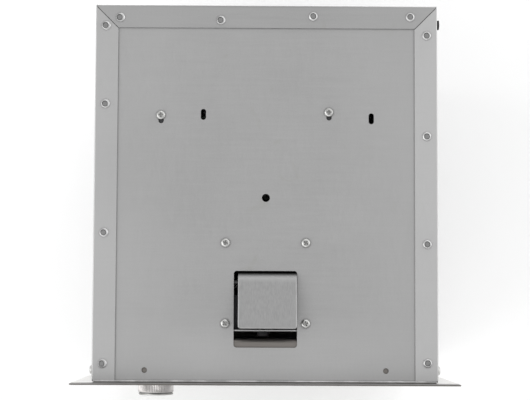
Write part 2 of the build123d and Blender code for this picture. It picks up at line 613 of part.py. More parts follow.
def key(x, z):
    """One metal key with a dished face and soft edges."""
    front, back = FACE - KEY_PROUD, FRONT + KEY_BACK
    cap = rounded_y(x, z, KEY_W, KEY_H, 2.0, front, back)
    cap = fillet(cap.faces().sort_by(Axis.Y)[0].edges(), 1.2)
    dish_r = 60.0
    return cap - Pos(x, front - dish_r + 0.6, z) * Sphere(dish_r)


def encoder_body():
    """The rotary encoder behind the fascia, its threaded bush through it and a nut in front."""
    body = rounded_y(DIAL_X, DIAL_Z, 26, 26, 3, FRONT, FRONT + 20)
    bush = rod_y(FACE - 4.5, FRONT, DIAL_X, DIAL_Z, 4.7)
    hexagon = upright(DIAL_X, FACE - 2.6, DIAL_Z) * RegularPolygon(7.5, 6)
    nut = extrude(hexagon, amount=2.6, dir=(0, 1, 0))
    bore = rod_y(FACE - 6, FRONT + 16, DIAL_X, DIAL_Z, 3.06)
    return body + bush + nut - bore


DIAL_BACK = FACE - 1.2
DIAL_FRONT = DIAL_BACK - DIAL_L


def selector_shaft():
    """The encoder's shaft, which turns and slides with the dial."""
    shaft = rod_y(DIAL_FRONT + 5, FRONT + 14, DIAL_X, DIAL_Z, 3.0)
    flat = block(DIAL_X - 4, DIAL_X + 4, DIAL_FRONT + 4, FACE - 5.3, DIAL_Z + 1.6, DIAL_Z + 4)
    return shaft - flat


def encoder_plunger():
    """The push switch's plunger, which the shaft's end bears on."""
    return rod_y(FRONT + 14, FRONT + 15.2, DIAL_X, DIAL_Z, 3.0)


def selector_knob():
    """A turned dial: straight-knurled grip, a groove, a polished chamfered rim and a slotted face."""
    grooves, groove_r, rim_l = 48, 0.62, 1.9
    rim_back = DIAL_FRONT + rim_l
    grip = rod_y(rim_back, DIAL_BACK, DIAL_X, DIAL_Z, DIAL_R)
    for n in range(grooves):
        a = 2 * pi * n / grooves
        x, z = DIAL_X + DIAL_R * cos(a), DIAL_Z + DIAL_R * sin(a)
        grip -= rod_y(rim_back - 1, DIAL_BACK - 1.6, x, z, groove_r)
    neck = rod_y(rim_back - 0.9, rim_back, DIAL_X, DIAL_Z, DIAL_R - 1.3)
    rim = rod_y(DIAL_FRONT, rim_back - 0.9, DIAL_X, DIAL_Z, DIAL_R - 0.5)
    rim = chamfer(rim.faces().sort_by(Axis.Y)[0].edges(), 0.6)
    knob = grip + neck + rim
    knob -= rod_y(DIAL_FRONT - 1, DIAL_FRONT + 0.8, DIAL_X, DIAL_Z, DIAL_R - 3.4)
    knob -= rod_y(FACE - 5.6, DIAL_BACK + 1, DIAL_X, DIAL_Z, 9.0)
    socket = rod_y(DIAL_FRONT + 4.5, DIAL_BACK + 1, DIAL_X, DIAL_Z, 3.06)
    socket -= block(DIAL_X - 4, DIAL_X + 4, DIAL_FRONT + 4, DIAL_BACK + 1, DIAL_Z + 1.7, DIAL_Z + 4)
    knob -= socket
    pointer_low, pointer_high = DIAL_Z + 6, DIAL_Z + DIAL_R - 3.4
    pointer = block(DIAL_X - 0.6, DIAL_X + 0.6, DIAL_FRONT - 1, DIAL_FRONT + 1.6, pointer_low, pointer_high)
    return knob - pointer


def card_reader_bezel():
    """A moulded throat that narrows to the card slot."""
    proud = 6.0
    bezel = rounded_y(CARD_X, CARD_Z, CARD_W, CARD_H, 8, FACE - proud, FACE)
    bezel = fillet(bezel.faces().sort_by(Axis.Y)[0].edges(), 3.6)
    bezel += rounded_y(CARD_X, CARD_Z, CARD_W - 13, CARD_H - 15, 2.6, FACE, FRONT + 3)
    mouth = loft([
        upright(CARD_X, FACE - proud - 0.5, CARD_Z) * RectangleRounded(64, 16, 4),
        upright(CARD_X, FRONT - 1.0, CARD_Z) * RectangleRounded(55, 2.4, 1.1),
    ])
    bezel -= mouth
    bezel -= rounded_y(CARD_X, CARD_Z, 55, 2.4, 1.1, FRONT - 3, FRONT + 4)
    return bezel


def card_reader_body():
    """The motorised reader: a long case with a card channel right through its front half."""
    case = block(CARD_X - 33, CARD_X + 33, FRONT + 3, FRONT + 128, CARD_Z - 16, CARD_Z + 16)
    case = fillet(case.edges().filter_by(Axis.Y), 2)
    case -= block(CARD_X - 27.5, CARD_X + 27.5, FRONT + 2, FRONT + 92, CARD_Z - 1.2, CARD_Z + 1.2)
    case += block(CARD_X - 20, CARD_X + 20, FRONT + 128, FRONT + 133, CARD_Z - 10, CARD_Z + 4)
    return case


CASH_MOUTH_W, CASH_MOUTH_H = 174.0, 26.0
SHUTTER_RISE = 28.0


def cash_bezel():
    """The frame round the note outlet, with guides for the shutter behind the fascia."""
    proud = 7.0
    bezel = rounded_y(CASH_X, CASH_Z, CASH_W, CASH_H, 7, FACE - proud, FACE)
    bezel = fillet(bezel.faces().sort_by(Axis.Y)[0].edges(), 3.0)
    bezel += rounded_y(CASH_X, CASH_Z, CASH_W - 13, CASH_H - 13, 2.6, FACE, FRONT + 1.0)
    mouth = loft([
        upright(CASH_X, FACE - proud - 0.5, CASH_Z) * RectangleRounded(182, 36, 4),
        upright(CASH_X, FACE, CASH_Z) * RectangleRounded(CASH_MOUTH_W, CASH_MOUTH_H, 2),
    ])
    bezel -= mouth
    bezel -= rounded_y(CASH_X, CASH_Z, CASH_MOUTH_W, CASH_MOUTH_H, 2, FACE - 1, FRONT + 2)
    for side in (-1, 1):
        x = CASH_X + side * (CASH_MOUTH_W / 2 + 1.5)
        bezel += block(min(x, x + side * 2.0), max(x, x + side * 2.0), FRONT, FRONT + 4,
                       CASH_Z - 15, CASH_Z + 15 + SHUTTER_RISE)
    return bezel


def cash_shutter():
    """The plate that closes the note outlet and slides up to open it."""
    half_w, half_h = CASH_MOUTH_W / 2 + 1.0, CASH_MOUTH_H / 2 + 1.4
    low, high = CASH_Z - half_h, CASH_Z + half_h
    plate = block(CASH_X - half_w, CASH_X + half_w, FRONT + 1.3, FRONT + 3.3, low, high)
    grip = block(CASH_X - 30, CASH_X + 30, FRONT + 3.3, FRONT + 6.0, high - 4, high)
    return plate + grip


def receipt_bezel():
    """A small throat for the paper slip, with a tear edge on top."""
    proud = 5.0
    bezel = rounded_y(SLIP_X, SLIP_Z, SLIP_W, SLIP_H, 6, FACE - proud, FACE)
    bezel = fillet(bezel.faces().sort_by(Axis.Y)[0].edges(), 2.5)
    bezel += rounded_y(SLIP_X, SLIP_Z, SLIP_W - 15, SLIP_H - 15, 2.6, FACE, FRONT + 2)
    mouth = loft([
        upright(SLIP_X, FACE - proud - 0.5, SLIP_Z) * RectangleRounded(70, 14, 3),
        upright(SLIP_X, FACE, SLIP_Z) * RectangleRounded(62, 3, 1.4),
    ])
    return bezel - mouth - rounded_y(SLIP_X, SLIP_Z, 62, 3, 1.4, FACE - 1, FRONT + 3)


# ------------------------------------------------------------------ note module
DISPENSER_X0, DISPENSER_X1, DISPENSER_T = -145.0, 46.5, 1.5
PINION_Y, PINION_Z = at(FEED_D - PINION_OFFSET), FEED_Z - PINION_OFFSET


def dispenser_frame():
    """Two cheeks that stand on the base, a floor and a cross bar; they carry the shaft and motor."""
    d0, d1, floor_z, z1 = 22.0, 99.0, 24.0, 150.0
    frame = block(DISPENSER_X0, DISPENSER_X1 + DISPENSER_T, at(d0), at(d1), floor_z, floor_z + DISPENSER_T)
    for x, foot in ((DISPENSER_X0, BASE_T + SHEET), (DISPENSER_X1, BASE_T)):
        frame += block(x, x + DISPENSER_T, at(d0), at(d1), foot, z1)
        frame -= rod_x(x - 1, x + DISPENSER_T + 1, at(FEED_D), FEED_Z, 3.06)
    frame += block(DISPENSER_X0, DISPENSER_X1, at(40), at(41.5), z1 - 20, z1)
    frame -= rod_x(DISPENSER_X1 - 1, DISPENSER_X1 + 3, PINION_Y, PINION_Z, 3.0)
    return frame


def feed_shaft():
    return rod_x(DISPENSER_X0 - 1.5, DISPENSER_X1 + 9, at(FEED_D), FEED_Z, 3.0)


ROLLER_X = (-95.0, -50.0, -5.0)


def feed_rollers():
    """Three rubber-tyred pick rollers on the feed shaft."""
    rollers = []
    for x in ROLLER_X:
        tyre = rod_x(x - 8, x + 8, at(FEED_D), FEED_Z, FEED_R)
        tyre -= rod_x(x - 9, x + 9, at(FEED_D), FEED_Z, 3.0)
        for n in (-1, 0, 1):
            groove = rod_x(x + 5 * n - 0.6, x + 5 * n + 0.6, at(FEED_D), FEED_Z, FEED_R + 1)
            tyre -= groove - rod_x(x - 9, x + 9, at(FEED_D), FEED_Z, FEED_R - 0.8)
        rollers.append(tyre)
    return rollers


def spur_gear(teeth, bore_r, phase):
    """A gear about X with involute flanks drawn through three points each, and some backlash."""
    pressure, backlash = radians(20), 0.22
    pitch_r = GEAR_MODULE * teeth / 2
    base_r = pitch_r * cos(pressure)
    tip_r, root_r = pitch_r + GEAR_MODULE * 0.92, pitch_r - 1.25 * GEAR_MODULE

    def flank_angle(r):
        a = acos(min(1.0, base_r / r))
        return tan(a) - a

    half_pitch = pi / (2 * teeth) - backlash / (2 * pitch_r) + flank_angle(pitch_r)
    outline = []
    for n in range(teeth):
        centre = 2 * pi * n / teeth + phase
        for side in (-1, 1):
            radii = (root_r, pitch_r, tip_r) if side < 0 else (tip_r, pitch_r, root_r)
            for r in radii:
                a = centre + side * (half_pitch - flank_angle(max(r, base_r)))
                outline.append((r * cos(a), r * sin(a)))
    wheel = extrude(make_face(Polyline(*outline, close=True)), amount=GEAR_W)
    wheel -= Pos(0, 0, GEAR_W / 2) * Cylinder(bore_r, GEAR_W + 2)
    return Rot(Y=90) * wheel


def feed_gear():
    hub = rod_x(DISPENSER_X1 + 2.3, DISPENSER_X1 + 2.8, at(FEED_D), FEED_Z, 6) - rod_x(
        DISPENSER_X1, DISPENSER_X1 + 9, at(FEED_D), FEED_Z, 3.0)
    return Pos(DISPENSER_X1 + 2.8, at(FEED_D), FEED_Z) * spur_gear(FEED_TEETH, 3.0, 0.0) + hub


def drive_motor():
    """A small gear motor screwed to the inside of the right cheek."""
    can = rod_x(DISPENSER_X1 - 36, DISPENSER_X1 - 8, PINION_Y, PINION_Z, 11.0)
    gearbox = rod_x(DISPENSER_X1 - 8, DISPENSER_X1 - 0.05, PINION_Y, PINION_Z, 12.0)
    boss = rod_x(DISPENSER_X1 - 0.05, DISPENSER_X1 + 1.4, PINION_Y, PINION_Z, 2.9)
    tail = rod_x(DISPENSER_X1 - 38, DISPENSER_X1 - 36, PINION_Y, PINION_Z, 4.0)
    shaft_hole = rod_x(DISPENSER_X1 - 12, DISPENSER_X1 + 2, PINION_Y, PINION_Z, 1.55)
    return can + gearbox + boss + tail - shaft_hole


def motor_pinion():
    """The pinion with its shaft, phased so that a tooth faces a gap of the feed gear."""
    shaft = rod_x(DISPENSER_X1 - 11, DISPENSER_X1 + 9, PINION_Y, PINION_Z, 1.5)
    gear = Pos(DISPENSER_X1 + 2.8, PINION_Y, PINION_Z) * spur_gear(PINION_TEETH, 1.5, pinion_phase())
    return gear + shaft


def pinion_phase():
    """Turns the pinion so that the gear's pitch point falls midway between two of its teeth.

    Seen along X after the turn onto that axis, the sketch's x points down and its y along +Y.
    """
    toward_gear = radians(135)  # from the pinion to the gear, in the sketch's angle
    toward_pinion = toward_gear - pi
    gear_step = 2 * pi / FEED_TEETH
    gear_offset = (toward_pinion % gear_step) / gear_step
    pinion_step = 2 * pi / PINION_TEETH
    return toward_gear + pinion_step * (0.5 + gear_offset)


def cassette_rails():
    """Two Z-section rails, welded to the base, that the cassette slides along."""
    d0, d1, t = 110.0, 308.0, 1.5
    foot_in, foot_w, wall_gap, wall_h = 10.5, 4.0, 1.5, 12.0
    high = CASSETTE_LOW - 0.1
    rails = []
    for side in (-1, 1):
        edge = CASSETTE_X + side * CASSETTE_W / 2
        foot = sorted((edge - side * foot_in, edge - side * (foot_in + foot_w)))
        ledge = sorted((edge - side * (foot_in + foot_w), edge + side * (wall_gap + t)))
        wall = sorted((edge + side * wall_gap, edge + side * (wall_gap + t)))
        rail = block(*foot, at(d0), at(d1), BASE_T, high)
        rail += block(*ledge, at(d0), at(d1), high - t, high)
        rails.append(rail + block(*wall, at(d0), at(d1), high - t, high + wall_h))
    return rails


CASSETTE_PLATE_D = CABINET_D + 0.4
CASSETTE_PLATE_T = 2.0
CASSETTE_WALL = 2.0


def cassette_body():
    """The note cassette: a locked box, open at the front, behind its own rear plate."""
    x0, x1 = CASSETTE_X - CASSETTE_W / 2, CASSETTE_X + CASSETTE_W / 2
    front, rear = at(CASSETTE_FRONT_D), at(CASSETTE_PLATE_D)
    box = block(x0, x1, front, rear, CASSETTE_LOW, CASSETTE_HIGH)
    t = CASSETTE_WALL
    box -= block(x0 + t, x1 - t, front - 1, rear - 8, CASSETTE_LOW + t, CASSETTE_HIGH - t)
    lip = 3.5
    plate = rounded_y(CASSETTE_X, (CASSETTE_LOW + CASSETTE_HIGH) / 2, CASSETTE_W + 3 + 2 * lip,
                      CASSETTE_HIGH - CASSETTE_LOW + 3 + 2 * lip, 4, rear, rear + CASSETTE_PLATE_T)
    body = box + plate
    outside = rear + CASSETTE_PLATE_T
    for side in (-1, 1):
        x = CASSETTE_X + side * (HANDLE_W / 2)
        body += block(x - 9, x - 4.4, outside, outside + 9, HANDLE_Z - 5, HANDLE_Z + 5)
        body += block(x + 4.4, x + 9, outside, outside + 9, HANDLE_Z - 5, HANDLE_Z + 5)
    body -= rod_x(x0, x1, HANDLE_Y, HANDLE_Z, 2.06)
    lock_x, lock_z = x1 - 18, CASSETTE_HIGH - 20
    lock = rod_y(outside, outside + 4, lock_x, lock_z, 8.0)
    keyway = block(lock_x - 0.6, lock_x + 0.6, outside + 2.5, outside + 5, lock_z - 3.5, lock_z + 3.5)
    return body + lock - keyway


HANDLE_W, HANDLE_Z, HANDLE_DROP = 84.0, 72.0, 34.0
HANDLE_Y = at(CASSETTE_PLATE_D) + CASSETTE_PLATE_T + 5.0


def cassette_handle():
    """A folding bail: two eyes on their pins, two arms and a grip that hangs below them."""
    r = 3.0
    x0, x1 = CASSETTE_X - HANDLE_W / 2, CASSETTE_X + HANDLE_W / 2
    grip_z = HANDLE_Z - HANDLE_DROP
    bail = rod_x(x0, x1, HANDLE_Y, grip_z, r)
    for x in (x0, x1):
        bail += rod_z(grip_z, HANDLE_Z, x, HANDLE_Y, r)
        bail += Pos(x, HANDLE_Y, grip_z) * Sphere(r)
        bail += rod_x(x - 4.0, x + 4.0, HANDLE_Y, HANDLE_Z, 4.0)
        bail += rod_x(x - 8.8, x + 8.8, HANDLE_Y, HANDLE_Z, 2.0)
    return bail


PUSHER_D, PUSHER_T = 108.0, 3.0


def note_pusher():
    """The sprung plate that keeps the notes against the pick rollers."""
    half = CASSETTE_W / 2 - CASSETTE_WALL - 1
    low, high = CASSETTE_LOW + CASSETTE_WALL + 1, CASSETTE_HIGH - CASSETTE_WALL - 1
    front = at(PUSHER_D)
    plate = rounded_y(CASSETTE_X, (low + high) / 2, 2 * half, high - low, 5, front, front + PUSHER_T)
    for x in (CASSETTE_X - half + 25, CASSETTE_X + half - 25):
        plate += block(x - 1.5, x + 1.5, front + PUSHER_T, front + 28, low, high - 18)
    return plate


# ------------------------------------------------------------------ receipt printer
PLATEN_D, PLATEN_Z, PLATEN_R = 20.0, 113.0, 5.5
ROLL_D, ROLL_Z, ROLL_R, ROLL_W = 62.0, 100.0, 26.0, 58.0
PRINTER_X0, PRINTER_X1, PRINTER_T = 62.0, 136.5, 1.5


def printer_frame():
    """Two cheeks on legs, a floor and the print head's bar."""
    d0, d1, z0, z1, leg_d = 6.0, 96.0, 68.0, 134.0, 56.0
    frame = block(PRINTER_X0, PRINTER_X1 + PRINTER_T, at(d0), at(d1), z0, z0 + PRINTER_T)
    for x in (PRINTER_X0, PRINTER_X1):
        frame += block(x, x + PRINTER_T, at(d0), at(d1), z0, z1)
    for x, foot in ((PRINTER_X0, BASE_T), (PRINTER_X1, BASE_T + SHEET)):
        frame += block(x, x + PRINTER_T, at(leg_d), at(d1), foot, z0)
    frame += block(PRINTER_X0, PRINTER_X1, at(12), at(28), 100.0, 104.0)
    for x in (PRINTER_X0, PRINTER_X1):
        frame -= rod_x(x - 1, x + 3, at(PLATEN_D), PLATEN_Z, 2.56)
        frame -= rod_x(x - 1, x + 3, at(ROLL_D), ROLL_Z, 3.06)
    return frame


def platen_roller():
    roller = rod_x(PRINTER_X0 + 5, PRINTER_X1 - 3.5, at(PLATEN_D), PLATEN_Z, PLATEN_R)
    spindle = rod_x(PRINTER_X0 - 3, PRINTER_X1 + 6, at(PLATEN_D), PLATEN_Z, 2.5)
    knob = rod_x(PRINTER_X1 + 2.5, PRINTER_X1 + 6, at(PLATEN_D), PLATEN_Z, 6.5)
    return roller + spindle + knob


def paper_roll():
    """The paper on its spindle."""
    centre = (PRINTER_X0 + PRINTER_X1 + PRINTER_T) / 2
    roll = rod_x(centre - ROLL_W / 2, centre + ROLL_W / 2, at(ROLL_D), ROLL_Z, ROLL_R)
    spindle = rod_x(PRINTER_X0 - 2, PRINTER_X1 + 3.5, at(ROLL_D), ROLL_Z, 3.0)
    return roll + spindle


# ------------------------------------------------------------------ rear
def door_hinge_leaves():
    """The fixed leaves on the rear wall, each with two knuckles and its pin."""
    leaves = []
    for z in HINGE_Z:
        leaf = block(HINGE_X - 9, HINGE_X + 1, BACK, BACK + 1.65, z - 18, z + 18)
        leaf += block(HINGE_X - HINGE_R, HINGE_X, BACK, at(HINGE_D), z - 18, z - 9)
        leaf += block(HINGE_X - HINGE_R, HINGE_X, BACK, at(HINGE_D), z + 9, z + 18)
        leaf += rod_z(z - 18, z - 9, HINGE_X, at(HINGE_D), HINGE_R)
        leaf += rod_z(z + 9, z + 18, HINGE_X, at(HINGE_D), HINGE_R)
        leaf -= block(HINGE_X - 1.0, HINGE_X + 2, BACK, BACK + 1.7, z - 9.2, z + 9.2)
        leaf += rod_z(z - 20, z + 20, HINGE_X, at(HINGE_D), HINGE_PIN_R)
        leaves.append(leaf)
    return leaves


def service_door():
    """A folded door over the rear window, with the moving knuckles of its hinges welded on."""
    z0, z1 = DOOR_LOW - DOOR_LIP, DOOR_HIGH + DOOR_LIP
    x = DOOR_X + DOOR_LIP
    y0 = BACK + 0.4
    door = rounded_y(0, (z0 + z1) / 2, 2 * x, z1 - z0, 3, y0, y0 + DOOR_T)
    rim_x, rim_low, rim_high, rim_d = DOOR_X - 2.5, DOOR_LOW + 2.5, DOOR_HIGH - 2.5, 11.0
    rim = block(-rim_x, rim_x, y0 - rim_d, y0, rim_low, rim_high)
    rim -= block(-rim_x + SHEET, rim_x - SHEET, y0 - rim_d - 1, y0 + 1, rim_low + SHEET, rim_high - SHEET)
    door += rim
    for n in range(9):
        door -= rounded_y(0, z1 - 28 - n * 9, 120 if n % 2 else 140, 3.4, 1.6, y0 - 1, y0 + DOOR_T + 1)
    for z in HINGE_Z:
        arm = block(HINGE_X, -x + 6, y0 + DOOR_T, y0 + DOOR_T + 1.5, z - 8.8, z + 8.8)
        door += arm + rod_z(z - 8.8, z + 8.8, HINGE_X, at(HINGE_D), HINGE_R)
        door -= rod_z(z - 12, z + 12, HINGE_X, at(HINGE_D), HINGE_PIN_R + 0.06)
    return door - rod_y(y0 - 1, y0 + DOOR_T + 1, LOCK_X, LOCK_Z, LOCK_R)


def door_lock():
    """A quarter-turn lock: slotted head outside, barrel through the door, and the cam inside."""
    y0 = BACK + 0.4
    head = rod_y(y0 + DOOR_T + 0.1, y0 + DOOR_T + 4.5, LOCK_X, LOCK_Z, LOCK_R + 3)
    head = fillet(head.faces().sort_by(Axis.Y)[-1].edges(), 1.2)
    barrel = rod_y(y0 - 15, y0 + DOOR_T + 0.1, LOCK_X, LOCK_Z, LOCK_R - 0.06)
    cam_y = y0 - 17
    cam = block(LOCK_X - 6, LOCK_X + 6, cam_y, cam_y + 2, LOCK_Z - 8, LOCK_Z + 24)
    slot = block(LOCK_X - 1.2, LOCK_X + 1.2, y0 + DOOR_T + 2.5, y0 + DOOR_T + 6, LOCK_Z - 8, LOCK_Z + 8)
    return head + barrel + cam - slot


def fan_frame():
    """The fan's square housing with four screw posts and three struts that hold the hub."""
    y1 = BACK - SHEET
    y0 = y1 - FAN_DEPTH
    frame = rounded_y(FAN_X, FAN_Z, FAN_SIDE, FAN_SIDE, 4, y0, y1)
    frame -= rod_y(y0 - 1, y1 + 1, FAN_X, FAN_Z, 37.5)
    for sx in (-1, 1):
        for sz in (-1, 1):
            frame -= rod_y(y0 - 1, y1 + 1, FAN_X + sx * 35.75, FAN_Z + sz * 35.75, 2.2)
    hub = rod_y(y0, y0 + 3, FAN_X, FAN_Z, 17)
    for n in range(3):
        strut = block(14, 39, y0, y0 + 3, -2, 2)
        hub += Pos(FAN_X, 0, FAN_Z) * Rot(Y=90 + 120 * n) * strut
    return frame + hub - rod_y(y0 - 1, y0 + 4, FAN_X, FAN_Z, FAN_SPINDLE_R + 0.06)


def fan_rotor():
    """Seven pitched blades round a cupped hub, on a spindle."""
    y1 = BACK - SHEET
    hub_y0, hub_y1 = y1 - FAN_DEPTH + 4, y1 - 3
    hub = rod_y(hub_y0, hub_y1, FAN_X, FAN_Z, 16)
    hub = fillet(hub.faces().sort_by(Axis.Y)[-1].edges(), 2)
    middle = (hub_y0 + hub_y1) / 2
    rotor = hub + rod_y(hub_y0 - 3.6, hub_y0, FAN_X, FAN_Z, FAN_SPINDLE_R)
    for n in range(7):
        blade = Pos(25.5, 0, 0) * Rot(X=-52) * Box(21, 17.5, 1.6)
        rotor += Pos(FAN_X, middle, FAN_Z) * Rot(Y=360 / 7 * n) * blade
    return rotor


def mains_inlet():
    """A panel inlet with a flange, a socket recess and three blades."""
    flange = rounded_y(INLET_X, INLET_Z, 50, 23, 5, BACK, BACK + 3)
    flange = fillet(flange.faces().sort_by(Axis.Y)[-1].edges(), 1)
    body = rounded_y(INLET_X, INLET_Z, 27.6, 20.6, 1.8, BACK - 22, BACK)
    inlet = flange + body
    inlet -= rounded_y(INLET_X, INLET_Z, 24.4, 16.6, 3, BACK - 15, BACK + 4)
    for dx, dz in ((-7, -2), (0, 2), (7, -2)):
        x, z = INLET_X + dx, INLET_Z + dz
        inlet += block(x - 1, x + 1, BACK - 16, BACK - 2, z - 2, z + 2)
    for side in (-1, 1):
        inlet -= rod_y(BACK - 1, BACK + 4, INLET_X + side * 20, INLET_Z, 1.7)
    return inlet


# ------------------------------------------------------------------ write every sub-part
os.makedirs("parts", exist_ok=True)
write("left_side_panel", side_panel(-1))
write("right_side_panel", side_panel(1))
write("back_panel", back_panel())
write("top_panel", top_panel())
write("base_plate", base_plate())
write("fascia_plate", fascia_plate())
write("blind_rivets", *blind_rivets())
write("cabinet_screws", *cabinet_screws())
write("black_screws", earth_screw(), latch_wall_screw())
write("latch_bracket", latch_bracket())
write("latch_pin", latch_pin())
write("latch_tongue", latch_tongue())
write("latch_spring", latch_spring())
write("board_bracket", board_bracket())
write("control_board", control_board())
write("shelf", shelf())
write("power_supply", power_supply())
write("speaker", speaker())
write("display_glass", display_glass())
write("display_module", display_module())
write("keypad_housing", keypad_housing())
for name, (x, z) in key_places().items():
    write(f"key_{name}", key(x, z))
write("encoder_body", encoder_body())
write("encoder_plunger", encoder_plunger())
write("selector_shaft", selector_shaft())
write("selector_knob", selector_knob())
write("card_reader_bezel", card_reader_bezel())
write("card_reader_body", card_reader_body())
write("cash_bezel", cash_bezel())
write("cash_shutter", cash_shutter())
write("receipt_bezel", receipt_bezel())
write("dispenser_frame", dispenser_frame())
write("feed_shaft", feed_shaft())
write("feed_rollers", *feed_rollers())
write("feed_gear", feed_gear())
write("drive_motor", drive_motor())
write("motor_pinion", motor_pinion())
write("cassette_body", cassette_body())
write("cassette_handle", cassette_handle())
write("note_pusher", note_pusher())
write("printer_frame", printer_frame())
write("platen_roller", platen_roller())
write("paper_roll", paper_roll())
write("door_hinge_leaves", *door_hinge_leaves())
write("service_door", service_door())
write("door_lock", door_lock())
write("fan_frame", fan_frame())
write("fan_rotor", fan_rotor())
write("mains_inlet", mains_inlet())
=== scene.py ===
import json
import math
import random

import bmesh
import bpy
from mathutils import Matrix, Vector


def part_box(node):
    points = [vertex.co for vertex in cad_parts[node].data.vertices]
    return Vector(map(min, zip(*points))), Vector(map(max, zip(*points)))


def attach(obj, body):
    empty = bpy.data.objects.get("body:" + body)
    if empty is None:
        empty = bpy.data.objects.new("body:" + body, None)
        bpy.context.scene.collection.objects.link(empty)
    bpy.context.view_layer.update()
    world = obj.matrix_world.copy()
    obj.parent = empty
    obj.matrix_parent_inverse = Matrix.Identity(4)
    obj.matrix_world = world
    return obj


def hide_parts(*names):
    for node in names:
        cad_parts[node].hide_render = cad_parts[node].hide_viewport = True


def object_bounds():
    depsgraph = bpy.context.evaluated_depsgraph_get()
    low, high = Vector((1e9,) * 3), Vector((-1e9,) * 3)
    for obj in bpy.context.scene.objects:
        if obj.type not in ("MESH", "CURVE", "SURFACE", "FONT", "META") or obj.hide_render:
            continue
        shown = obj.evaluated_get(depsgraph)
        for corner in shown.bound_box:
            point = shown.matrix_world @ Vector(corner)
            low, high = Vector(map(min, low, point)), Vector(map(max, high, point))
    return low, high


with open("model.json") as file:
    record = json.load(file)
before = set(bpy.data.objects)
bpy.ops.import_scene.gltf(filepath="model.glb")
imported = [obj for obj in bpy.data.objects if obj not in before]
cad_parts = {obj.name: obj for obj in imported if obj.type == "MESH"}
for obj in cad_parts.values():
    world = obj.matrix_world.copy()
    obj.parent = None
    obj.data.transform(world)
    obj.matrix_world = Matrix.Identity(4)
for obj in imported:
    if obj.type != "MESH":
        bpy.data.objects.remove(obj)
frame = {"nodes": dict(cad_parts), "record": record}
CAD_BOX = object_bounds()
MM = 0.001
NODES = frame["nodes"]

# ------------------------------------------------------------------ places, from the frame
CABINET_LOW = Vector((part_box("left_side_panel")[0].x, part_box("back_panel")[1].y, 0))
CABINET_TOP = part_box("left_side_panel")[1].z
CABINET_CENTRE = Vector((0, 0, CABINET_TOP / 2))
GLASS_LOW, GLASS_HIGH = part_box("display_glass")
FASCIA_BACK = GLASS_LOW.y  # the fascia's rear face
FASCIA_T = 1.2 * MM
FACE = FASCIA_BACK - FASCIA_T  # and its front face


def middle(node):
    low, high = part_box(node)
    return (low + high) / 2


# ------------------------------------------------------------------ camera, lights and floor
def place_camera():
    """A long lens that looks straight down on the cabinet's top, a little from the rear."""
    above_top = 1297.2 * MM
    from_centre_x, behind_fascia = -10.0 * MM, 63.3 * MM
    tilt, lean, roll = 0.0733, -0.0071, 0.0049
    camera = bpy.data.objects.new("camera", bpy.data.cameras.new("camera"))
    camera.data.sensor_width = 36.0
    camera.data.lens = 101.4
    camera.data.clip_start, camera.data.clip_end = 0.05, 50.0
    place = Vector((from_centre_x, FASCIA_BACK + behind_fascia, CABINET_TOP + above_top))
    turn = Matrix.Rotation(tilt, 4, "X") @ Matrix.Rotation(lean, 4, "Y") @ Matrix.Rotation(roll, 4, "Z")
    camera.matrix_world = Matrix.Translation(place) @ turn
    bpy.context.scene.collection.objects.link(camera)
    bpy.context.scene.camera = camera


def soft_light(name, place, width, watts, tone=(1, 1, 1)):
    lamp = bpy.data.lights.new(name, "AREA")
    lamp.size = width
    lamp.energy = watts
    lamp.color = tone
    light = bpy.data.objects.new(name, lamp)
    light.location = place
    aim = CABINET_CENTRE - Vector(place)
    light.rotation_mode = "QUATERNION"
    light.rotation_quaternion = aim.to_track_quat("-Z", "Y")
    bpy.context.scene.collection.objects.link(light)


def light_studio():
    """A pale room that is darker overhead than at the horizon, and four soft boxes."""
    world = bpy.data.worlds.new("studio")
    bpy.context.scene.world = world
    world.use_nodes = True
    tree = world.node_tree
    coordinates = tree.nodes.new("ShaderNodeTexCoord")
    split = tree.nodes.new("ShaderNodeSeparateXYZ")
    ramp = tree.nodes.new("ShaderNodeValToRGB")
    stops = ((0.0, 1.0), (0.5, 0.98), (0.72, 0.90), (1.0, 0.66))
    while len(ramp.color_ramp.elements) < len(stops):
        ramp.color_ramp.elements.new(0.5)
    for element, (position, level) in zip(ramp.color_ramp.elements, stops):
        element.position = position
        element.color = (level, level, level, 1)
    half = tree.nodes.new("ShaderNodeMapRange")
    half.inputs["From Min"].default_value = -1
    background = tree.nodes["Background"]
    tree.links.new(coordinates.outputs["Generated"], split.inputs[0])
    tree.links.new(split.outputs["Z"], half.inputs["Value"])
    tree.links.new(half.outputs[0], ramp.inputs[0])
    tree.links.new(ramp.outputs[0], background.inputs["Color"])
    soft_light("left_box", (-2.3, -0.5, 1.7), 2.6, 34)
    soft_light("right_box", (2.5, 0.6, 1.6), 2.8, 24)
    soft_light("front_box", (-0.5, -2.8, 1.4), 2.8, 18)
    soft_light("rear_box", (0.6, 2.8, 1.5), 2.8, 18)


def lay_floor():
    bm = bmesh.new()
    half, z = 4.0, CAD_BOX[0].z - 0.3 * MM
    bm.faces.new([bm.verts.new((x * half, y * half, z)) for x, y in ((-1, -1), (1, -1), (1, 1), (-1, 1))])
    mesh = bpy.data.meshes.new("floor")
    bm.to_mesh(mesh)
    bm.free()
    floor = bpy.data.objects.new("floor", mesh)
    bpy.context.scene.collection.objects.link(floor)
    paint = Finish("floor_paint", (0.94, 0.94, 0.94), roughness=0.9)
    paint.colour(paint.noise(3, detail=2), (0.96, 0.96, 0.96), (0.98, 0.98, 0.98))
    mesh.materials.append(paint.material)


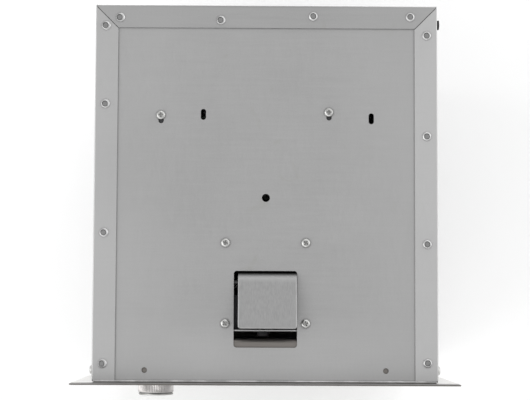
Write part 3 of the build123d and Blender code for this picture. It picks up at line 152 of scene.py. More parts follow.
# ------------------------------------------------------------------ materials
class Finish:
    """A node material about a Principled shader, in the object's own metres."""

    def __init__(self, name, colour, roughness=0.5, metallic=0.0, **constants):
        self.material = bpy.data.materials.new(name)
        self.material.use_nodes = True
        self.tree = self.material.node_tree
        self.shader = self.tree.nodes["Principled BSDF"]
        self.shader.inputs["Base Color"].default_value = (*colour, 1)
        self.shader.inputs["Roughness"].default_value = roughness
        self.shader.inputs["Metallic"].default_value = metallic
        for socket, value in constants.items():
            self.shader.inputs[socket.replace("_", " ")].default_value = value
        self.place = self.add("ShaderNodeTexCoord").outputs["Object"]
        self.normal = None
        self.material.diffuse_color = (*colour, 1)

    def add(self, kind, **settings):
        node = self.tree.nodes.new(kind)
        for key, value in settings.items():
            setattr(node, key, value)
        return node

    def link(self, source, target):
        self.tree.links.new(source, target)

    def stretched(self, stretch):
        if stretch == (1, 1, 1):
            return self.place
        mapping = self.add("ShaderNodeMapping")
        mapping.inputs["Scale"].default_value = stretch
        self.link(self.place, mapping.inputs["Vector"])
        return mapping.outputs[0]

    def noise(self, scale, detail=2.0, stretch=(1, 1, 1), distortion=0.0):
        node = self.add("ShaderNodeTexNoise")
        node.inputs["Scale"].default_value = scale
        node.inputs["Detail"].default_value = detail
        node.inputs["Distortion"].default_value = distortion
        self.link(self.stretched(stretch), node.inputs["Vector"])
        return node.outputs["Fac"]

    def cells(self, scale, feature="F1", stretch=(1, 1, 1)):
        node = self.add("ShaderNodeTexVoronoi", feature=feature)
        node.inputs["Scale"].default_value = scale
        self.link(self.stretched(stretch), node.inputs["Vector"])
        return node.outputs["Distance"]

    def spread(self, value, low, high, to_low=0.0, to_high=1.0):
        node = self.add("ShaderNodeMapRange")
        sockets = ("From Min", "From Max", "To Min", "To Max")
        for socket, number in zip(sockets, (low, high, to_low, to_high)):
            node.inputs[socket].default_value = number
        self.link(value, node.inputs["Value"])
        return node.outputs[0]

    def math(self, operation, a, b):
        node = self.add("ShaderNodeMath", operation=operation)
        for socket, value in zip(node.inputs, (a, b)):
            if isinstance(value, (int, float)):
                socket.default_value = value
            else:
                self.link(value, socket)
        return node.outputs[0]

    def blend(self, factor, a, b):
        node = self.add("ShaderNodeMix", data_type="RGBA")
        self.link(factor, node.inputs["Factor"])
        colour_sockets = [s for s in node.inputs if s.type == "RGBA"]
        for socket, value in zip(colour_sockets, (a, b)):
            if isinstance(value, tuple):
                socket.default_value = (*value, 1)
            else:
                self.link(value, socket)
        return next(s for s in node.outputs if s.type == "RGBA")

    def colour(self, factor, a, b):
        mixed = self.blend(factor, a, b)
        self.link(mixed, self.shader.inputs["Base Color"])
        return mixed

    def repaint(self, factor, colour):
        """Lays one more colour over what drives the base colour, where factor is 1."""
        socket = self.shader.inputs["Base Color"]
        under = socket.links[0].from_socket if socket.links else tuple(socket.default_value)[:3]
        self.link(self.blend(factor, under, colour), socket)

    def rough(self, value, low, high):
        self.link(self.spread(value, 0.3, 0.7, low, high), self.shader.inputs["Roughness"])

    def soften(self, radius):
        """Rounds the look of sharp edges."""
        bevel = self.add("ShaderNodeBevel", samples=4)
        bevel.inputs["Radius"].default_value = radius
        self.normal = bevel.outputs[0]
        self.link(self.normal, self.shader.inputs["Normal"])
        return self.normal

    def edge(self, radius):
        """1 on sharp edges and 0 on flats."""
        if self.normal is None:
            self.soften(radius)
        true = self.add("ShaderNodeNewGeometry").outputs["Normal"]
        dot = self.add("ShaderNodeVectorMath", operation="DOT_PRODUCT")
        self.link(self.normal, dot.inputs[0])
        self.link(true, dot.inputs[1])
        return self.spread(dot.outputs["Value"], 0.985, 0.80)

    def corners(self, reach):
        """1 deep in corners and seams, and 0 in the open."""
        node = self.add("ShaderNodeAmbientOcclusion", samples=6)
        node.inputs["Distance"].default_value = reach
        return self.spread(node.outputs["AO"], 0.95, 0.40)

    def paint_corner_shade(self, reach, strength, colour):
        """Painted shade that gathers in corners and seams, broken up by noise."""
        patchy = self.spread(self.noise(220, detail=3), 0.25, 0.6, 0.65, 1.0)
        amount = self.math("MULTIPLY", self.corners(reach), patchy)
        self.repaint(self.math("MULTIPLY", amount, strength), colour)

    def along(self, axis):
        """A coordinate of the object's own metres."""
        split = self.add("ShaderNodeSeparateXYZ")
        self.link(self.place, split.inputs[0])
        return split.outputs[axis]

    def bends(self, reach):
        """1 on the bends over the cabinet's left, right and rear edges, and 0 on its flats."""
        half_w, back = -CABINET_LOW.x, CABINET_LOW.y
        sides = self.spread(self.math("ABSOLUTE", self.along("X"), 0), half_w - reach, half_w - reach / 2)
        rear = self.spread(self.along("Y"), back - reach, back - reach / 2)
        high = self.spread(self.along("Z"), CABINET_TOP - 1.5 * reach, CABINET_TOP - reach)
        return self.math("MULTIPLY", self.math("MAXIMUM", sides, rear), high)

    def hollows(self, low, high):
        """1 in the hollows of a finely divided mesh, and 0 on its ridges."""
        return self.spread(self.add("ShaderNodeNewGeometry").outputs["Pointiness"], high, low)

    def bump(self, height, strength, distance):
        node = self.add("ShaderNodeBump")
        node.inputs["Strength"].default_value = strength
        node.inputs["Distance"].default_value = distance
        self.link(height, node.inputs["Height"])
        socket = self.shader.inputs["Normal"]
        if socket.links:
            self.link(socket.links[0].from_socket, node.inputs["Normal"])
        self.link(node.outputs[0], socket)


def scaled(colour, k):
    return tuple(c * k for c in colour)


def zinc_sheet(name, tone, edge_shade_and_highlight=0.5):
    """Plated sheet: a satin skin, fine speckle and grain, faint clouds and handling marks.

    Sheared edges are darkened, partly as bare sheared metal and partly as painted shade of the seams;
    an edge tone above 1 paints a highlight on them instead. The bends over the cabinet's edges are
    painted darker as shade, the sheet is painted lighter next to the fascia and towards its left and
    right as painted light, and its corners take painted shade.
    """
    f = Finish(name, tone, metallic=0.85)
    clouds = f.noise(7, detail=3, distortion=0.4)
    speckle = f.noise(900, detail=2)
    f.colour(f.spread(clouds, 0.35, 0.68), scaled(tone, 0.975), scaled(tone, 1.025))
    f.repaint(f.spread(speckle, 0.50, 0.75, 0, 0.30), scaled(tone, 1.16))
    f.repaint(f.spread(speckle, 0.45, 0.25, 0, 0.30), scaled(tone, 0.86))
    grain = f.noise(420, detail=3, stretch=(0.06, 1, 1))
    f.repaint(f.spread(grain, 0.52, 0.72, 0, 0.40), scaled(tone, 1.07))
    f.repaint(f.spread(grain, 0.48, 0.28, 0, 0.40), scaled(tone, 0.93))
    stains = f.spread(f.noise(37, detail=6, distortion=1.2), 0.66, 0.74, 0, 0.24)
    f.repaint(stains, (tone[0] * 0.84, tone[1] * 0.84, tone[2] * 0.76))
    # painted shade: the bends over the cabinet's edges are painted darker
    f.repaint(f.bends(2.2 * MM), scaled(tone, 0.84))
    # painted light: the sheet is painted lighter towards the fascia
    f.repaint(f.spread(f.along("Y"), FASCIA_BACK + 60 * MM, FASCIA_BACK, 0, 0.6), scaled(tone, 1.35))
    # painted light: the sheet is painted lighter towards its left and right
    sideways_light = f.math("ABSOLUTE", f.along("X"), 0)
    f.repaint(f.spread(sideways_light, 50 * MM, 150 * MM, 0, 0.8), scaled(tone, 1.07))
    # sharp edges: a tone below 1 darkens them as bare sheared metal and painted seam shade, above 1 paints
    # a highlight
    f.repaint(f.math("MULTIPLY", f.edge(0.4 * MM), 0.7), scaled(tone, edge_shade_and_highlight))
    # painted shade in the corners and seams
    f.paint_corner_shade(1.4 * MM, 0.55, scaled(tone, 0.25))
    rolled = f.noise(500, detail=2, stretch=(1, 0.2, 1))
    f.rough(f.math("ADD", f.math("MULTIPLY", clouds, 0.5), f.math("MULTIPLY", rolled, 0.5)), 0.44, 0.56)
    f.bump(speckle, 0.06, 0.04 * MM)
    return f


def stainless(name, tone, stretch, roughness=(0.26, 0.42)):
    """Brushed stainless: long fine streaks, a little tarnish, painted edge highlights and painted corner
    shade.
    """
    f = Finish(name, tone, metallic=0.97)
    streaks = f.noise(1100, detail=3, stretch=stretch)
    f.colour(f.spread(streaks, 0.3, 0.7), scaled(tone, 0.92), scaled(tone, 1.07))
    tarnish = f.spread(f.noise(9, detail=4, distortion=0.6), 0.56, 0.76, 0, 0.22)
    f.repaint(tarnish, (tone[0] * 0.94, tone[1] * 0.92, tone[2] * 0.88))
    # painted highlight on the sharp edges
    f.repaint(f.edge(0.3 * MM), scaled(tone, 1.2))
    # painted shade in the corners and seams
    f.paint_corner_shade(1.5 * MM, 0.5, scaled(tone, 0.3))
    f.rough(streaks, *roughness)
    f.bump(streaks, 0.10, 0.03 * MM)
    return f


def tongue_steel(name, tone):
    """Brushed stainless, with painted highlights along its free edges and over the bend, and painted shade
    behind it.
    """
    f = stainless(name, tone, (1, 0.03, 1), (0.44, 0.56))
    low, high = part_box("latch_tongue")
    glint_band, bend = 1.0 * MM, 8.5 * MM
    off_centre = f.math("ABSOLUTE", f.math("SUBTRACT", f.along("X"), (low.x + high.x) / 2), 0)
    sides = f.spread(off_centre, (high.x - low.x) / 2 - glint_band, (high.x - low.x) / 2 - glint_band / 2)
    tip = f.spread(f.along("Y"), low.y + glint_band, low.y + glint_band / 2)
    # painted highlight along the free side edges and the tip
    f.repaint(f.math("MULTIPLY", f.math("MAXIMUM", sides, tip), 0.7), scaled(tone, 1.6))
    # painted highlight over the bend
    bend_highlight = f.spread(f.along("Y"), high.y - bend, high.y - bend / 2, 0, 0.7)
    f.repaint(bend_highlight, scaled(tone, 1.3))
    # painted shade where the bend turns away into the box
    f.repaint(f.spread(f.along("Y"), high.y - 0.6 * bend, high.y - 0.1 * bend), scaled(tone, 0.2))
    return f


def plate_rear(name, tone):
    """The fascia's rear face, painted as reflections: bright where the wall covers it, dark above the
    cabinet's top.
    """
    f = stainless(name, tone, (0.02, 1, 1), (0.40, 0.55))
    # painted reflection of the grey cabinet: the rear face is painted dark above the cabinet's top
    f.repaint(f.spread(f.along("Z"), CABINET_TOP - 2 * MM, CABINET_TOP + 2 * MM), scaled(tone, 0.36))
    return f


def turned_metal(name, tone, roughness, hollow_shade=0.55):
    """Turned, pressed or ground metal: a fine grain, dull handling marks and painted shade in hollows and
    corners.
    """
    f = Finish(name, tone, metallic=1.0)
    marks = f.noise(160, detail=4, distortion=0.5)
    f.colour(f.spread(marks, 0.35, 0.7), scaled(tone, 1.04), scaled(tone, 0.88))
    # painted shade in the hollows of the mesh
    f.repaint(f.math("MULTIPLY", f.hollows(0.42, 0.50), 0.7), scaled(tone, hollow_shade))
    # painted shade in the corners and seams
    f.paint_corner_shade(0.9 * MM, 0.7, scaled(tone, 0.25))
    f.rough(marks, roughness, roughness + 0.14)
    f.bump(f.noise(2600, detail=2), 0.08, 0.02 * MM)
    return f


def moulding(name, tone, roughness=0.5, texture=1700):
    """Moulded plastic with a spark-eroded texture and a painted highlight on its edges."""
    f = Finish(name, tone, Specular_IOR_Level=0.42)
    pores = f.cells(texture)
    wear = f.noise(40, detail=4)
    f.colour(f.spread(wear, 0.3, 0.7), scaled(tone, 0.88), scaled(tone, 1.15))
    # painted highlight on the sharp edges
    f.repaint(f.math("MULTIPLY", f.edge(0.4 * MM), 0.5), tuple(min(1, c * 1.7 + 0.02) for c in tone))
    f.rough(wear, roughness - 0.07, roughness + 0.09)
    f.bump(pores, 0.22, 0.06 * MM)
    return f


def enamel(name, tone, roughness=0.45):
    """Sprayed paint with a light orange peel."""
    f = Finish(name, tone, Coat_Weight=0.15, Coat_Roughness=0.25)
    peel = f.noise(520, detail=2)
    patch = f.noise(24, detail=3)
    f.colour(f.spread(patch, 0.3, 0.7), scaled(tone, 0.93), scaled(tone, 1.08))
    # painted highlight on the sharp edges
    f.repaint(f.math("MULTIPLY", f.edge(0.3 * MM), 0.45), tuple(min(1, c * 1.6 + 0.03) for c in tone))
    f.rough(patch, roughness - 0.05, roughness + 0.08)
    f.bump(peel, 0.20, 0.06 * MM)
    return f


def rubber(name, tone):
    f = Finish(name, tone, Specular_IOR_Level=0.3)
    dust = f.noise(90, detail=5)
    f.colour(f.spread(dust, 0.4, 0.75), tone, tuple(c * 1.9 + 0.01 for c in tone))
    f.rough(dust, 0.66, 0.84)
    f.bump(f.noise(1900, detail=2), 0.3, 0.05 * MM)
    return f


def screen_glass(name, tone):
    """Clear glass with a few finger smears."""
    f = Finish(name, tone, Transmission_Weight=1.0, IOR=1.4)
    smears = f.noise(26, detail=4, stretch=(1, 1, 2.2), distortion=1.8)
    f.colour(f.spread(smears, 0.5, 0.8), (0.95, 0.97, 0.96), (0.86, 0.89, 0.89))
    f.link(f.spread(smears, 0.55, 0.80, 0.02, 0.14), f.shader.inputs["Roughness"])
    f.bump(f.noise(60), 0.02, 0.02 * MM)
    return f


def lit(name, tone, strength):
    """A lit display colour with a fine pixel weave."""
    f = Finish(name, scaled(tone, 0.2), roughness=0.35, Emission_Strength=strength)
    weave = f.cells(2400)
    mixed = f.blend(f.spread(weave, 0.2, 0.8), tone, scaled(tone, 0.86))
    f.link(mixed, f.shader.inputs["Emission Color"])
    f.bump(weave, 0.05, 0.01 * MM)
    return f


def board_green(name, tone):
    """Solder mask over copper tracks, with bare pads."""
    f = Finish(name, tone, Coat_Weight=0.5, Coat_Roughness=0.15)
    tracks = f.cells(190, feature="DISTANCE_TO_EDGE", stretch=(1, 1, 1.7))
    f.colour(f.spread(tracks, 0.03, 0.05, 1, 0), tone, (0.03, 0.24, 0.09))
    f.repaint(f.spread(f.cells(420), 0.10, 0.13, 0.9, 0), (0.72, 0.60, 0.30))
    f.rough(f.noise(70, detail=3), 0.30, 0.42)
    f.bump(tracks, 0.2, 0.03 * MM)
    return f


def paper(name, tone, centre):
    """The wound edge of a roll shows its turns as fine rings."""
    ripple, core_r = 9000.0, 7.5 * MM
    f = Finish(name, tone, roughness=0.8)
    shift = f.add("ShaderNodeMapping")
    shift.inputs["Location"].default_value = (0, -centre.y, -centre.z)
    shift.inputs["Scale"].default_value = (0, 1, 1)
    f.link(f.place, shift.inputs["Vector"])
    radius = f.add("ShaderNodeVectorMath", operation="LENGTH")
    f.link(shift.outputs[0], radius.inputs[0])
    turns = f.math("SINE", f.math("MULTIPLY", radius.outputs["Value"], ripple), 0)
    core = f.math("LESS_THAN", radius.outputs["Value"], core_r)
    f.colour(f.spread(turns, -1, 1), (0.80, 0.80, 0.77), (0.90, 0.90, 0.885))
    f.repaint(core, (0.42, 0.33, 0.22))
    f.rough(f.noise(300, detail=3), 0.72, 0.88)
    f.bump(turns, 0.15, 0.05 * MM)
    return f


def make_finishes():
    """Every finish by name. A single number stands for a grey."""
    upright = (1, 1, 0.02)
    level = (0.02, 1, 1)
    deep = (1, 0.03, 1)
    recipes = [
        (zinc_sheet, "zinc_sheet", 0.455),
        # the next three are copies of the same plated sheet: top and rear painted darker, right lighter, as
        # painted shade and light
        (zinc_sheet, "zinc_panel", 0.415),
        (zinc_sheet, "zinc_right", 0.495),
        (zinc_sheet, "zinc_rear", 0.395),
        # the latch tray's sheet, painted dark as shade, with a painted highlight on its edges
        (zinc_sheet, "dark_sheet", (0.11, 0.11, 0.115), 4.0),
        (stainless, "stainless_fascia", (0.43, 0.42, 0.405), level),
        # the fascia's cut edges, painted dark as shade
        (turned_metal, "plate_edge", (0.19, 0.18, 0.17), 0.45),
        # the fascia's rear face, painted very bright as a reflection of the pale room
        (plate_rear, "plate_back", (0.95, 0.94, 0.925)),
        (rubber, "seal_foam", 0.44),
        # the fascia's returns, painted dark as shade
        (stainless, "plate_return", (0.25, 0.235, 0.22), level, (0.38, 0.50)),
        (turned_metal, "rivet_aluminium", 0.56, 0.34),
        # the rivets' mandrel steel, which also darkens the dial's groove as painted shade
        (turned_metal, "mandrel_steel", 0.30, 0.42),
        (turned_metal, "zinc_fastener", (0.52, 0.52, 0.51), 0.30),
        (rubber, "black_screw", (0.008, 0.008, 0.009)),
        (tongue_steel, "stainless_tongue", 0.365),
        # the tongue's sheared edges, painted bright as a highlight
        (turned_metal, "cut_edge", 0.80, 0.26),
        (turned_metal, "spring_steel", (0.10, 0.10, 0.105), 0.40),
        (turned_metal, "steel_bar", (0.56, 0.56, 0.57), 0.24),
        (turned_metal, "dark_bar", 0.10, 0.35),
        (board_green, "circuit_board", (0.012, 0.13, 0.05)),
        (stainless, "supply_case", 0.58, upright, (0.34, 0.48)),
        (screen_glass, "screen_glass", (0.93, 0.96, 0.95)),
        (enamel, "display_case", (0.03, 0.03, 0.033)),
        (enamel, "cast_keypad", (0.034, 0.035, 0.038), 0.5),
        (turned_metal, "key_metal", 0.47, 0.34),
        (moulding, "encoder_case", (0.03, 0.03, 0.032)),
        (turned_metal, "knurled_aluminium", (0.62, 0.60, 0.59), 0.38, 0.45),
        (turned_metal, "dial_rim", (0.36, 0.355, 0.345), 0.30, 0.4),
        (moulding, "black_moulding", (0.018, 0.019, 0.020), 0.48),
        (stainless, "reader_case", (0.52, 0.52, 0.53), deep),
        (stainless, "shutter_steel", (0.40, 0.40, 0.41), level),
        (rubber, "roller_rubber", 0.022),
        (moulding, "gear_plastic", (0.78, 0.75, 0.66), 0.42),
        (stainless, "motor_steel", (0.50, 0.50, 0.52), level),
        (turned_metal, "pinion_brass", (0.74, 0.54, 0.24), 0.24),
        (moulding, "cassette_plastic", (0.045, 0.050, 0.060), 0.5, 1300),
        (moulding, "pusher_plastic", (0.22, 0.23, 0.25), 0.5),
        (paper, "paper", (0.86, 0.86, 0.84), middle("paper_roll")),
        (turned_metal, "lock_chrome", (0.72, 0.72, 0.73), 0.10),
        (enamel, "ink", (0.05, 0.05, 0.055), 0.5),
        (enamel, "red_ink", (0.55, 0.03, 0.03), 0.4),
        (enamel, "green_ink", (0.02, 0.30, 0.08), 0.4),
        (moulding, "cream_plastic", (0.74, 0.71, 0.62), 0.45),
        (moulding, "chip_plastic", (0.02, 0.02, 0.022), 0.45),
        (lit, "screen_blue", (0.008, 0.045, 0.16), 1.2),
        (lit, "screen_band", (0.02, 0.15, 0.42), 1.2),
        (lit, "screen_tile", (0.42, 0.54, 0.68), 1.0),
        (lit, "screen_mark", (0.05, 0.16, 0.34), 1.0),
        (enamel, "screen_black", (0.006, 0.006, 0.007), 0.2),
        (lit, "guide_green", (0.05, 0.85, 0.30), 2.2),
    ]
    made = {}
    for recipe, name, tone, *options in recipes:
        colour = (tone, tone, tone) if isinstance(tone, float) else tone
        made[name] = recipe(name, colour, *options).material
    return made


# ------------------------------------------------------------------ mesh helpers
def finish_piece(name, bm, body, finishes, replaces=(), crease=32):
    """Closes up a bmesh as a piece: outward normals, smooth faces and sharp creases."""
    bmesh.ops.recalc_face_normals(bm, faces=bm.faces)
    for face in bm.faces:
        face.smooth = True
    for edge in bm.edges:
        edge.smooth = len(edge.link_faces) == 2 and edge.calc_face_angle() < math.radians(crease)
    mesh = bpy.data.meshes.new(name)
    bm.to_mesh(mesh)
    bm.free()
    for finish in finishes:
        mesh.materials.append(FINISHES[finish])
    piece = bpy.data.objects.new(name, mesh)
    bpy.context.scene.collection.objects.link(piece)
    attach(piece, body)
    if replaces:
        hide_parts(*replaces)
    return piece


def bridge(bm, ring_a, ring_b, material=0):
    """Faces between two rings of points, either of which may be a single point."""
    count = max(len(ring_a), len(ring_b))
    for n in range(count):
        a, b = ring_a[n % len(ring_a)], ring_a[(n + 1) % len(ring_a)]
        c, d = ring_b[(n + 1) % len(ring_b)], ring_b[n % len(ring_b)]
        corners = [a, b, c, d]
        face = bm.faces.new([v for i, v in enumerate(corners) if v not in corners[:i]])
        face.material_index = material


def turned(bm, profile, place=Matrix.Identity(4), segments=48, relief=None):
    """Turns (radius, height, material) points about Z. relief(radius, height, angle) may move a point."""
    last = None
    for radius, height, material in profile:
        if radius == 0:
            ring = [bm.verts.new(place @ Vector((0, 0, height)))]
        else:
            ring = []
            for n in range(segments):
                angle = 2 * math.pi * n / segments
                r, h = relief(radius, height, angle) if relief else (radius, height)
                ring.append(bm.verts.new(place @ Vector((r * math.cos(angle), r * math.sin(angle), h))))
        if last:
            bridge(bm, last, ring, material)
        last = ring


def outline(w, h, r, steps=5):
    """(x, z) points round a rectangle with round corners, about its centre."""
    points = []
    for cx, cz, start in ((1, 1, 0), (-1, 1, 90), (-1, -1, 180), (1, -1, 270)):
        for n in range(steps + 1):
            a = math.radians(start + 90 * n / steps)
            points.append((cx * (w / 2 - r) + r * math.cos(a), cz * (h / 2 - r) + r * math.sin(a)))
    return points


def prism(bm, points, y_front, y_back, material=0):
    """A closed prism of (x, z) points that faces the customer."""
    front = [bm.verts.new((x, y_front, z)) for x, z in points]
    back = [bm.verts.new((x, y_back, z)) for x, z in points]
    for face in (bm.faces.new(front), bm.faces.new(list(reversed(back)))):
        face.material_index = material
    bridge(bm, front, back, material)


def plate(bm, x, z, w, h, r, y_front, y_back, material=0):
    prism(bm, [(x + px, z + pz) for px, pz in outline(w, h, r)], y_front, y_back, material)


def islands(node):
    """The separate solids of a node, as (lowest corner, highest corner)."""
    mesh = NODES[node].data
    key = [tuple(round(c, 6) for c in v.co) for v in mesh.vertices]
    first = {}
    parent = list(range(len(key)))

    def root(i):
        while parent[i] != i:
            parent[i] = parent[parent[i]]
            i = parent[i]
        return i

    for i, k in enumerate(key):
        parent[i] = first.setdefault(k, i)
    for polygon in mesh.polygons:
        ids = [root(i) for i in polygon.vertices]
        for i in ids[1:]:
            parent[root(i)] = root(ids[0])
    groups = {}
    for i, k in enumerate(key):
        groups.setdefault(root(i), []).append(k)
    boxes = []
    for points in groups.values():
        low = Vector([min(p[n] for p in points) for n in range(3)])
        high = Vector([max(p[n] for p in points) for n in range(3)])
        boxes.append((low, high))
    return sorted(boxes, key=lambda b: tuple(round(c, 5) for c in b[0]))


def fasteners(node):
    """(outermost point, outward direction, length) of each fastener: its axis is its odd dimension."""
    found = []
    for low, high in islands(node):
        size, centre = high - low, (low + high) / 2
        axis = max(range(3), key=lambda n: min(abs(size[n] - size[m]) for m in range(3) if m != n))
        outward = Vector((0, 0, 0))
        outward[axis] = 1 if centre[axis] > CABINET_CENTRE[axis] else -1
        found.append((centre + outward * size[axis] / 2, outward, size[axis]))
    return found


def facing(point, outward, turn=0.0):
    """A frame at point whose Z looks outward."""
    aim = outward.to_track_quat("Z", "Y").to_matrix().to_4x4()
    return Matrix.Translation(point) @ aim @ Matrix.Rotation(turn, 4, "Z")


def recoloured(name, node, body, finishes, choose):
    """A copy of a node with a finish for each kind of face, chosen by its centre and normal."""
    mesh = NODES[node].data.copy()
    mesh.name = name
    mesh.materials.clear()
    for finish in finishes:
        mesh.materials.append(FINISHES[finish])
    for polygon in mesh.polygons:
        polygon.material_index = choose(polygon.center, polygon.normal)
    piece = bpy.data.objects.new(name, mesh)
    bpy.context.scene.collection.objects.link(piece)
    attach(piece, body)
    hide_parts(node)
    return piece


# ------------------------------------------------------------------ fasteners
# (radius, height, material) in mm, from the stem's head in the middle out to the flange's rim
RIVET_CROWN = [
    (0, 0.62, 1), (0.7, 0.66, 1), (1.7, 0.62, 1), (2.15, 0.50, 1), (2.3, 0.28, 1),
    (2.42, 0.30, 0), (2.5, 0.80, 0), (2.62, 1.08, 0), (2.85, 1.20, 0), (3.15, 1.12, 0),
    (3.5, 0.86, 0), (3.8, 0.52, 0), (3.97, 0.22, 0), (4.0, 0.05, 0), (3.96, 0, 0)]
# (radius, height) in mm of a pan head's rounded edge
PAN_EDGE = [(2.9, 2.12), (3.35, 1.82), (3.7, 1.42), (3.92, 0.95), (4.0, 0.5), (4.0, 0.08), (3.93, 0)]


def make_rivets():
    """Blind rivets: a bright flange round the pulled stem's grey head, which is a little off centre."""
    head, shank_r, bulb_r, bulb = 1.3 * MM, 1.95 * MM, 3.0 * MM, 3.6 * MM
    dome_r, stem_edge = 3.8 * MM, 2.6 * MM
    rng = random.Random(11)
    bm = bmesh.new()
    for tip, outward, length in fasteners("blind_rivets"):
        grip = length - head - bulb
        profile = [(r * MM, h * MM, m) for r, h, m in RIVET_CROWN]
        profile += [(shank_r, 0, 0), (shank_r, -grip, 0), (bulb_r, -grip - bulb * 0.45, 0),
                    (bulb_r * 0.75, -grip - bulb, 0), (0, -grip - bulb, 1)]
        slip = 0.35 + 0.4 * rng.random() if tip.x < 0 else 0.2 * rng.random()
        drift = Vector((slip * MM, 0.15 * MM * rng.uniform(-1, 1), 0))
        where = facing(tip - outward * head, outward)

        def relief(r, h, a, drift=drift):
            share = min(1.0, max(0.0, (dome_r - r) / (dome_r - stem_edge))) if h > 0 else 0
            return math.hypot(r * math.cos(a) + share * drift.x, r * math.sin(a) + share * drift.y), h

        turned(bm, profile, where, segments=40, relief=relief)
    finish_piece("rivets", bm, "root", ["rivet_aluminium", "mandrel_steel"],
                 ["blind_rivets"])


def cross_recess(width, reach, depth):
    """How deep a tapered cross recess is at (radius, angle)."""
    def at_point(radius, angle):
        x, y = radius * math.cos(angle), radius * math.sin(angle)
        deepest = 0.0
        for along, across in ((abs(x), abs(y)), (abs(y), abs(x))):
            side = min(1.0, max(0.0, (width - across) / (0.25 * width)))
            run = max(0.0, 1 - (along / reach) ** 3)
            deepest = max(deepest, side * depth * run)
        return deepest
    return at_point


def make_screws():
    """Cross recess pan heads, and countersunk ones under the base."""
    head, shank_r, head_r, half_pitch, thread = 2.6 * MM, 1.95 * MM, 4.0 * MM, 0.35 * MM, 0.18 * MM
    recess = cross_recess(0.55 * MM, 2.3 * MM, 1.5 * MM)
    bm = bmesh.new()
    for n, (tip, outward, length) in enumerate(fasteners("cabinet_screws")):
        countersunk = outward.z < 0
        radii = [0] + [0.14 * MM * k for k in range(1, 19)]
        if countersunk:
            rim, top = 3.9 * MM, 0.0
            profile = [(r, 0, 0) for r in radii] + [(rim, 0, 0), (shank_r, -2.4 * MM, 0)]
        else:
            top = head
            crown = [(r, head - 0.9 * MM * (r / head_r) ** 2.4, 0) for r in radii]
            profile = crown + [(r * MM, h * MM, 0) for r, h in PAN_EDGE] + [(shank_r, 0, 0)]
        end = top - length
        start = profile[-1][1]
        for k in range(int((start - end) / half_pitch)):
            profile.append((shank_r - (thread if k % 2 else 0), start - (k + 0.5) * half_pitch, 0))
        profile += [(shank_r * 0.8, end, 0), (0, end, 0)]

        def relief(r, h, a, top=top, limit=start):
            return (r, h - recess(r, a)) if h > limit - 1e-6 and r < 2.5 * MM else (r, h)

        turned(bm, profile, facing(tip - outward * top, outward, 0.6 * n), segments=48, relief=relief)
    finish_piece("screws", bm, "root", ["zinc_fastener"], ["cabinet_screws"])


# ------------------------------------------------------------------ latch
def make_tongue():
    """The tongue's faces are satin, and its sheared edges are painted bright as a highlight."""
    low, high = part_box("latch_tongue")

    def choose(centre, normal):
        side = min(abs(centre.x - low.x), abs(centre.x - high.x)) < 0.02 * MM
        tip = centre.y - low.y < 1.7 * MM and normal.z < 0.6
        return 1 if side or tip else 0

    # the sheared edges take a bright finish as a painted highlight
    recoloured("latch_plate", "latch_tongue", "latch_tongue", ["stainless_tongue", "cut_edge"],
               choose)


def make_bracket():
    """The latch's tray is painted dark as shade, and the sheared upper edge of its front wall is plain
    zinc.
    """
    low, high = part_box("latch_bracket")

    def choose(centre, normal):
        on_wall = centre.y < low.y + 1.0 * MM and abs(centre.x) < 28 * MM
        return 1 if on_wall and normal.z > 0.8 and centre.z > high.z - 0.1 * MM else 0

    # the tray is painted dark as the shade inside the opening
    recoloured("latch_tray", "latch_bracket", "root", ["dark_sheet", "zinc_sheet"], choose)


def make_latch_spring():
    """A wound torsion spring."""
    low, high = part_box("latch_spring")
    centre = (low + high) / 2
    wire = 0.6 * MM
    coil_r = (high.z - low.z) / 2 - wire
    turns, steps, sides = 7, 28, 10
    span = high.x - low.x - 2 * wire
    path = []
    for n in range(turns * steps + 1):
        a = 2 * math.pi * n / steps
        x = low.x + wire + span * n / (turns * steps)
        path.append(Vector((x, centre.y + coil_r * math.cos(a), centre.z + coil_r * math.sin(a))))
    bm = bmesh.new()
    last = None
    for n, point in enumerate(path):
        along = (path[min(n + 1, len(path) - 1)] - path[max(n - 1, 0)]).normalized()
        out = Vector((0, point.y - centre.y, point.z - centre.z)).normalized()
        side = along.cross(out)
        ring = []
        for k in range(sides):
            a = 2 * math.pi * k / sides
            ring.append(bm.verts.new(point + wire * (math.cos(a) * out + math.sin(a) * side)))
        if last:
            bridge(bm, last, ring)
        else:
            bm.faces.new(ring)
        last = ring
    bm.faces.new(last)
    finish_piece("tongue_spring", bm, "latch_tongue", ["spring_steel"], ["latch_spring"])


# ------------------------------------------------------------------ fascia
def make_fascia():
    """The plate is brushed in front and painted bright behind; its cut edges and returns are painted dark
    as shade.
    """
    plate_end = FASCIA_BACK + 0.02 * MM

    def choose(centre, normal):
        if centre.y > plate_end:
            return 2
        if normal.y > 0.5:
            return 3
        return 0 if normal.y < -0.5 else 1

    # cut edges and returns take dark finishes as painted shade, and the rear face a bright one as painted
    # reflection
    recoloured("front_plate", "fascia_plate", "root",
               ["stainless_fascia", "plate_edge", "plate_return", "plate_back"], choose)


def make_seal():
    """A grey seal round the cabinet's front rim, which stands proud of it into the shadow gap."""
    rim, proud, shadow_gap = 1.6 * MM, 1.1 * MM, 2.1 * MM
    half_w, high, low = -CABINET_LOW.x - 0.4 * MM, CABINET_TOP - 0.15 * MM, 3.5 * MM
    back = FASCIA_BACK + shadow_gap
    tall, mid = high - low, (high + low) / 2
    bm = bmesh.new()
    for x, z, w, h in ((0, high - rim / 2, 2 * half_w, rim), (0, low + rim / 2, 2 * half_w, rim),
                       (-half_w + rim / 2, mid, rim, tall), (half_w - rim / 2, mid, rim, tall)):
        plate(bm, x, z, w, h, 0.4 * MM, back - proud, back + 0.01 * MM)
    finish_piece("front_seal", bm, "root", ["seal_foam"])


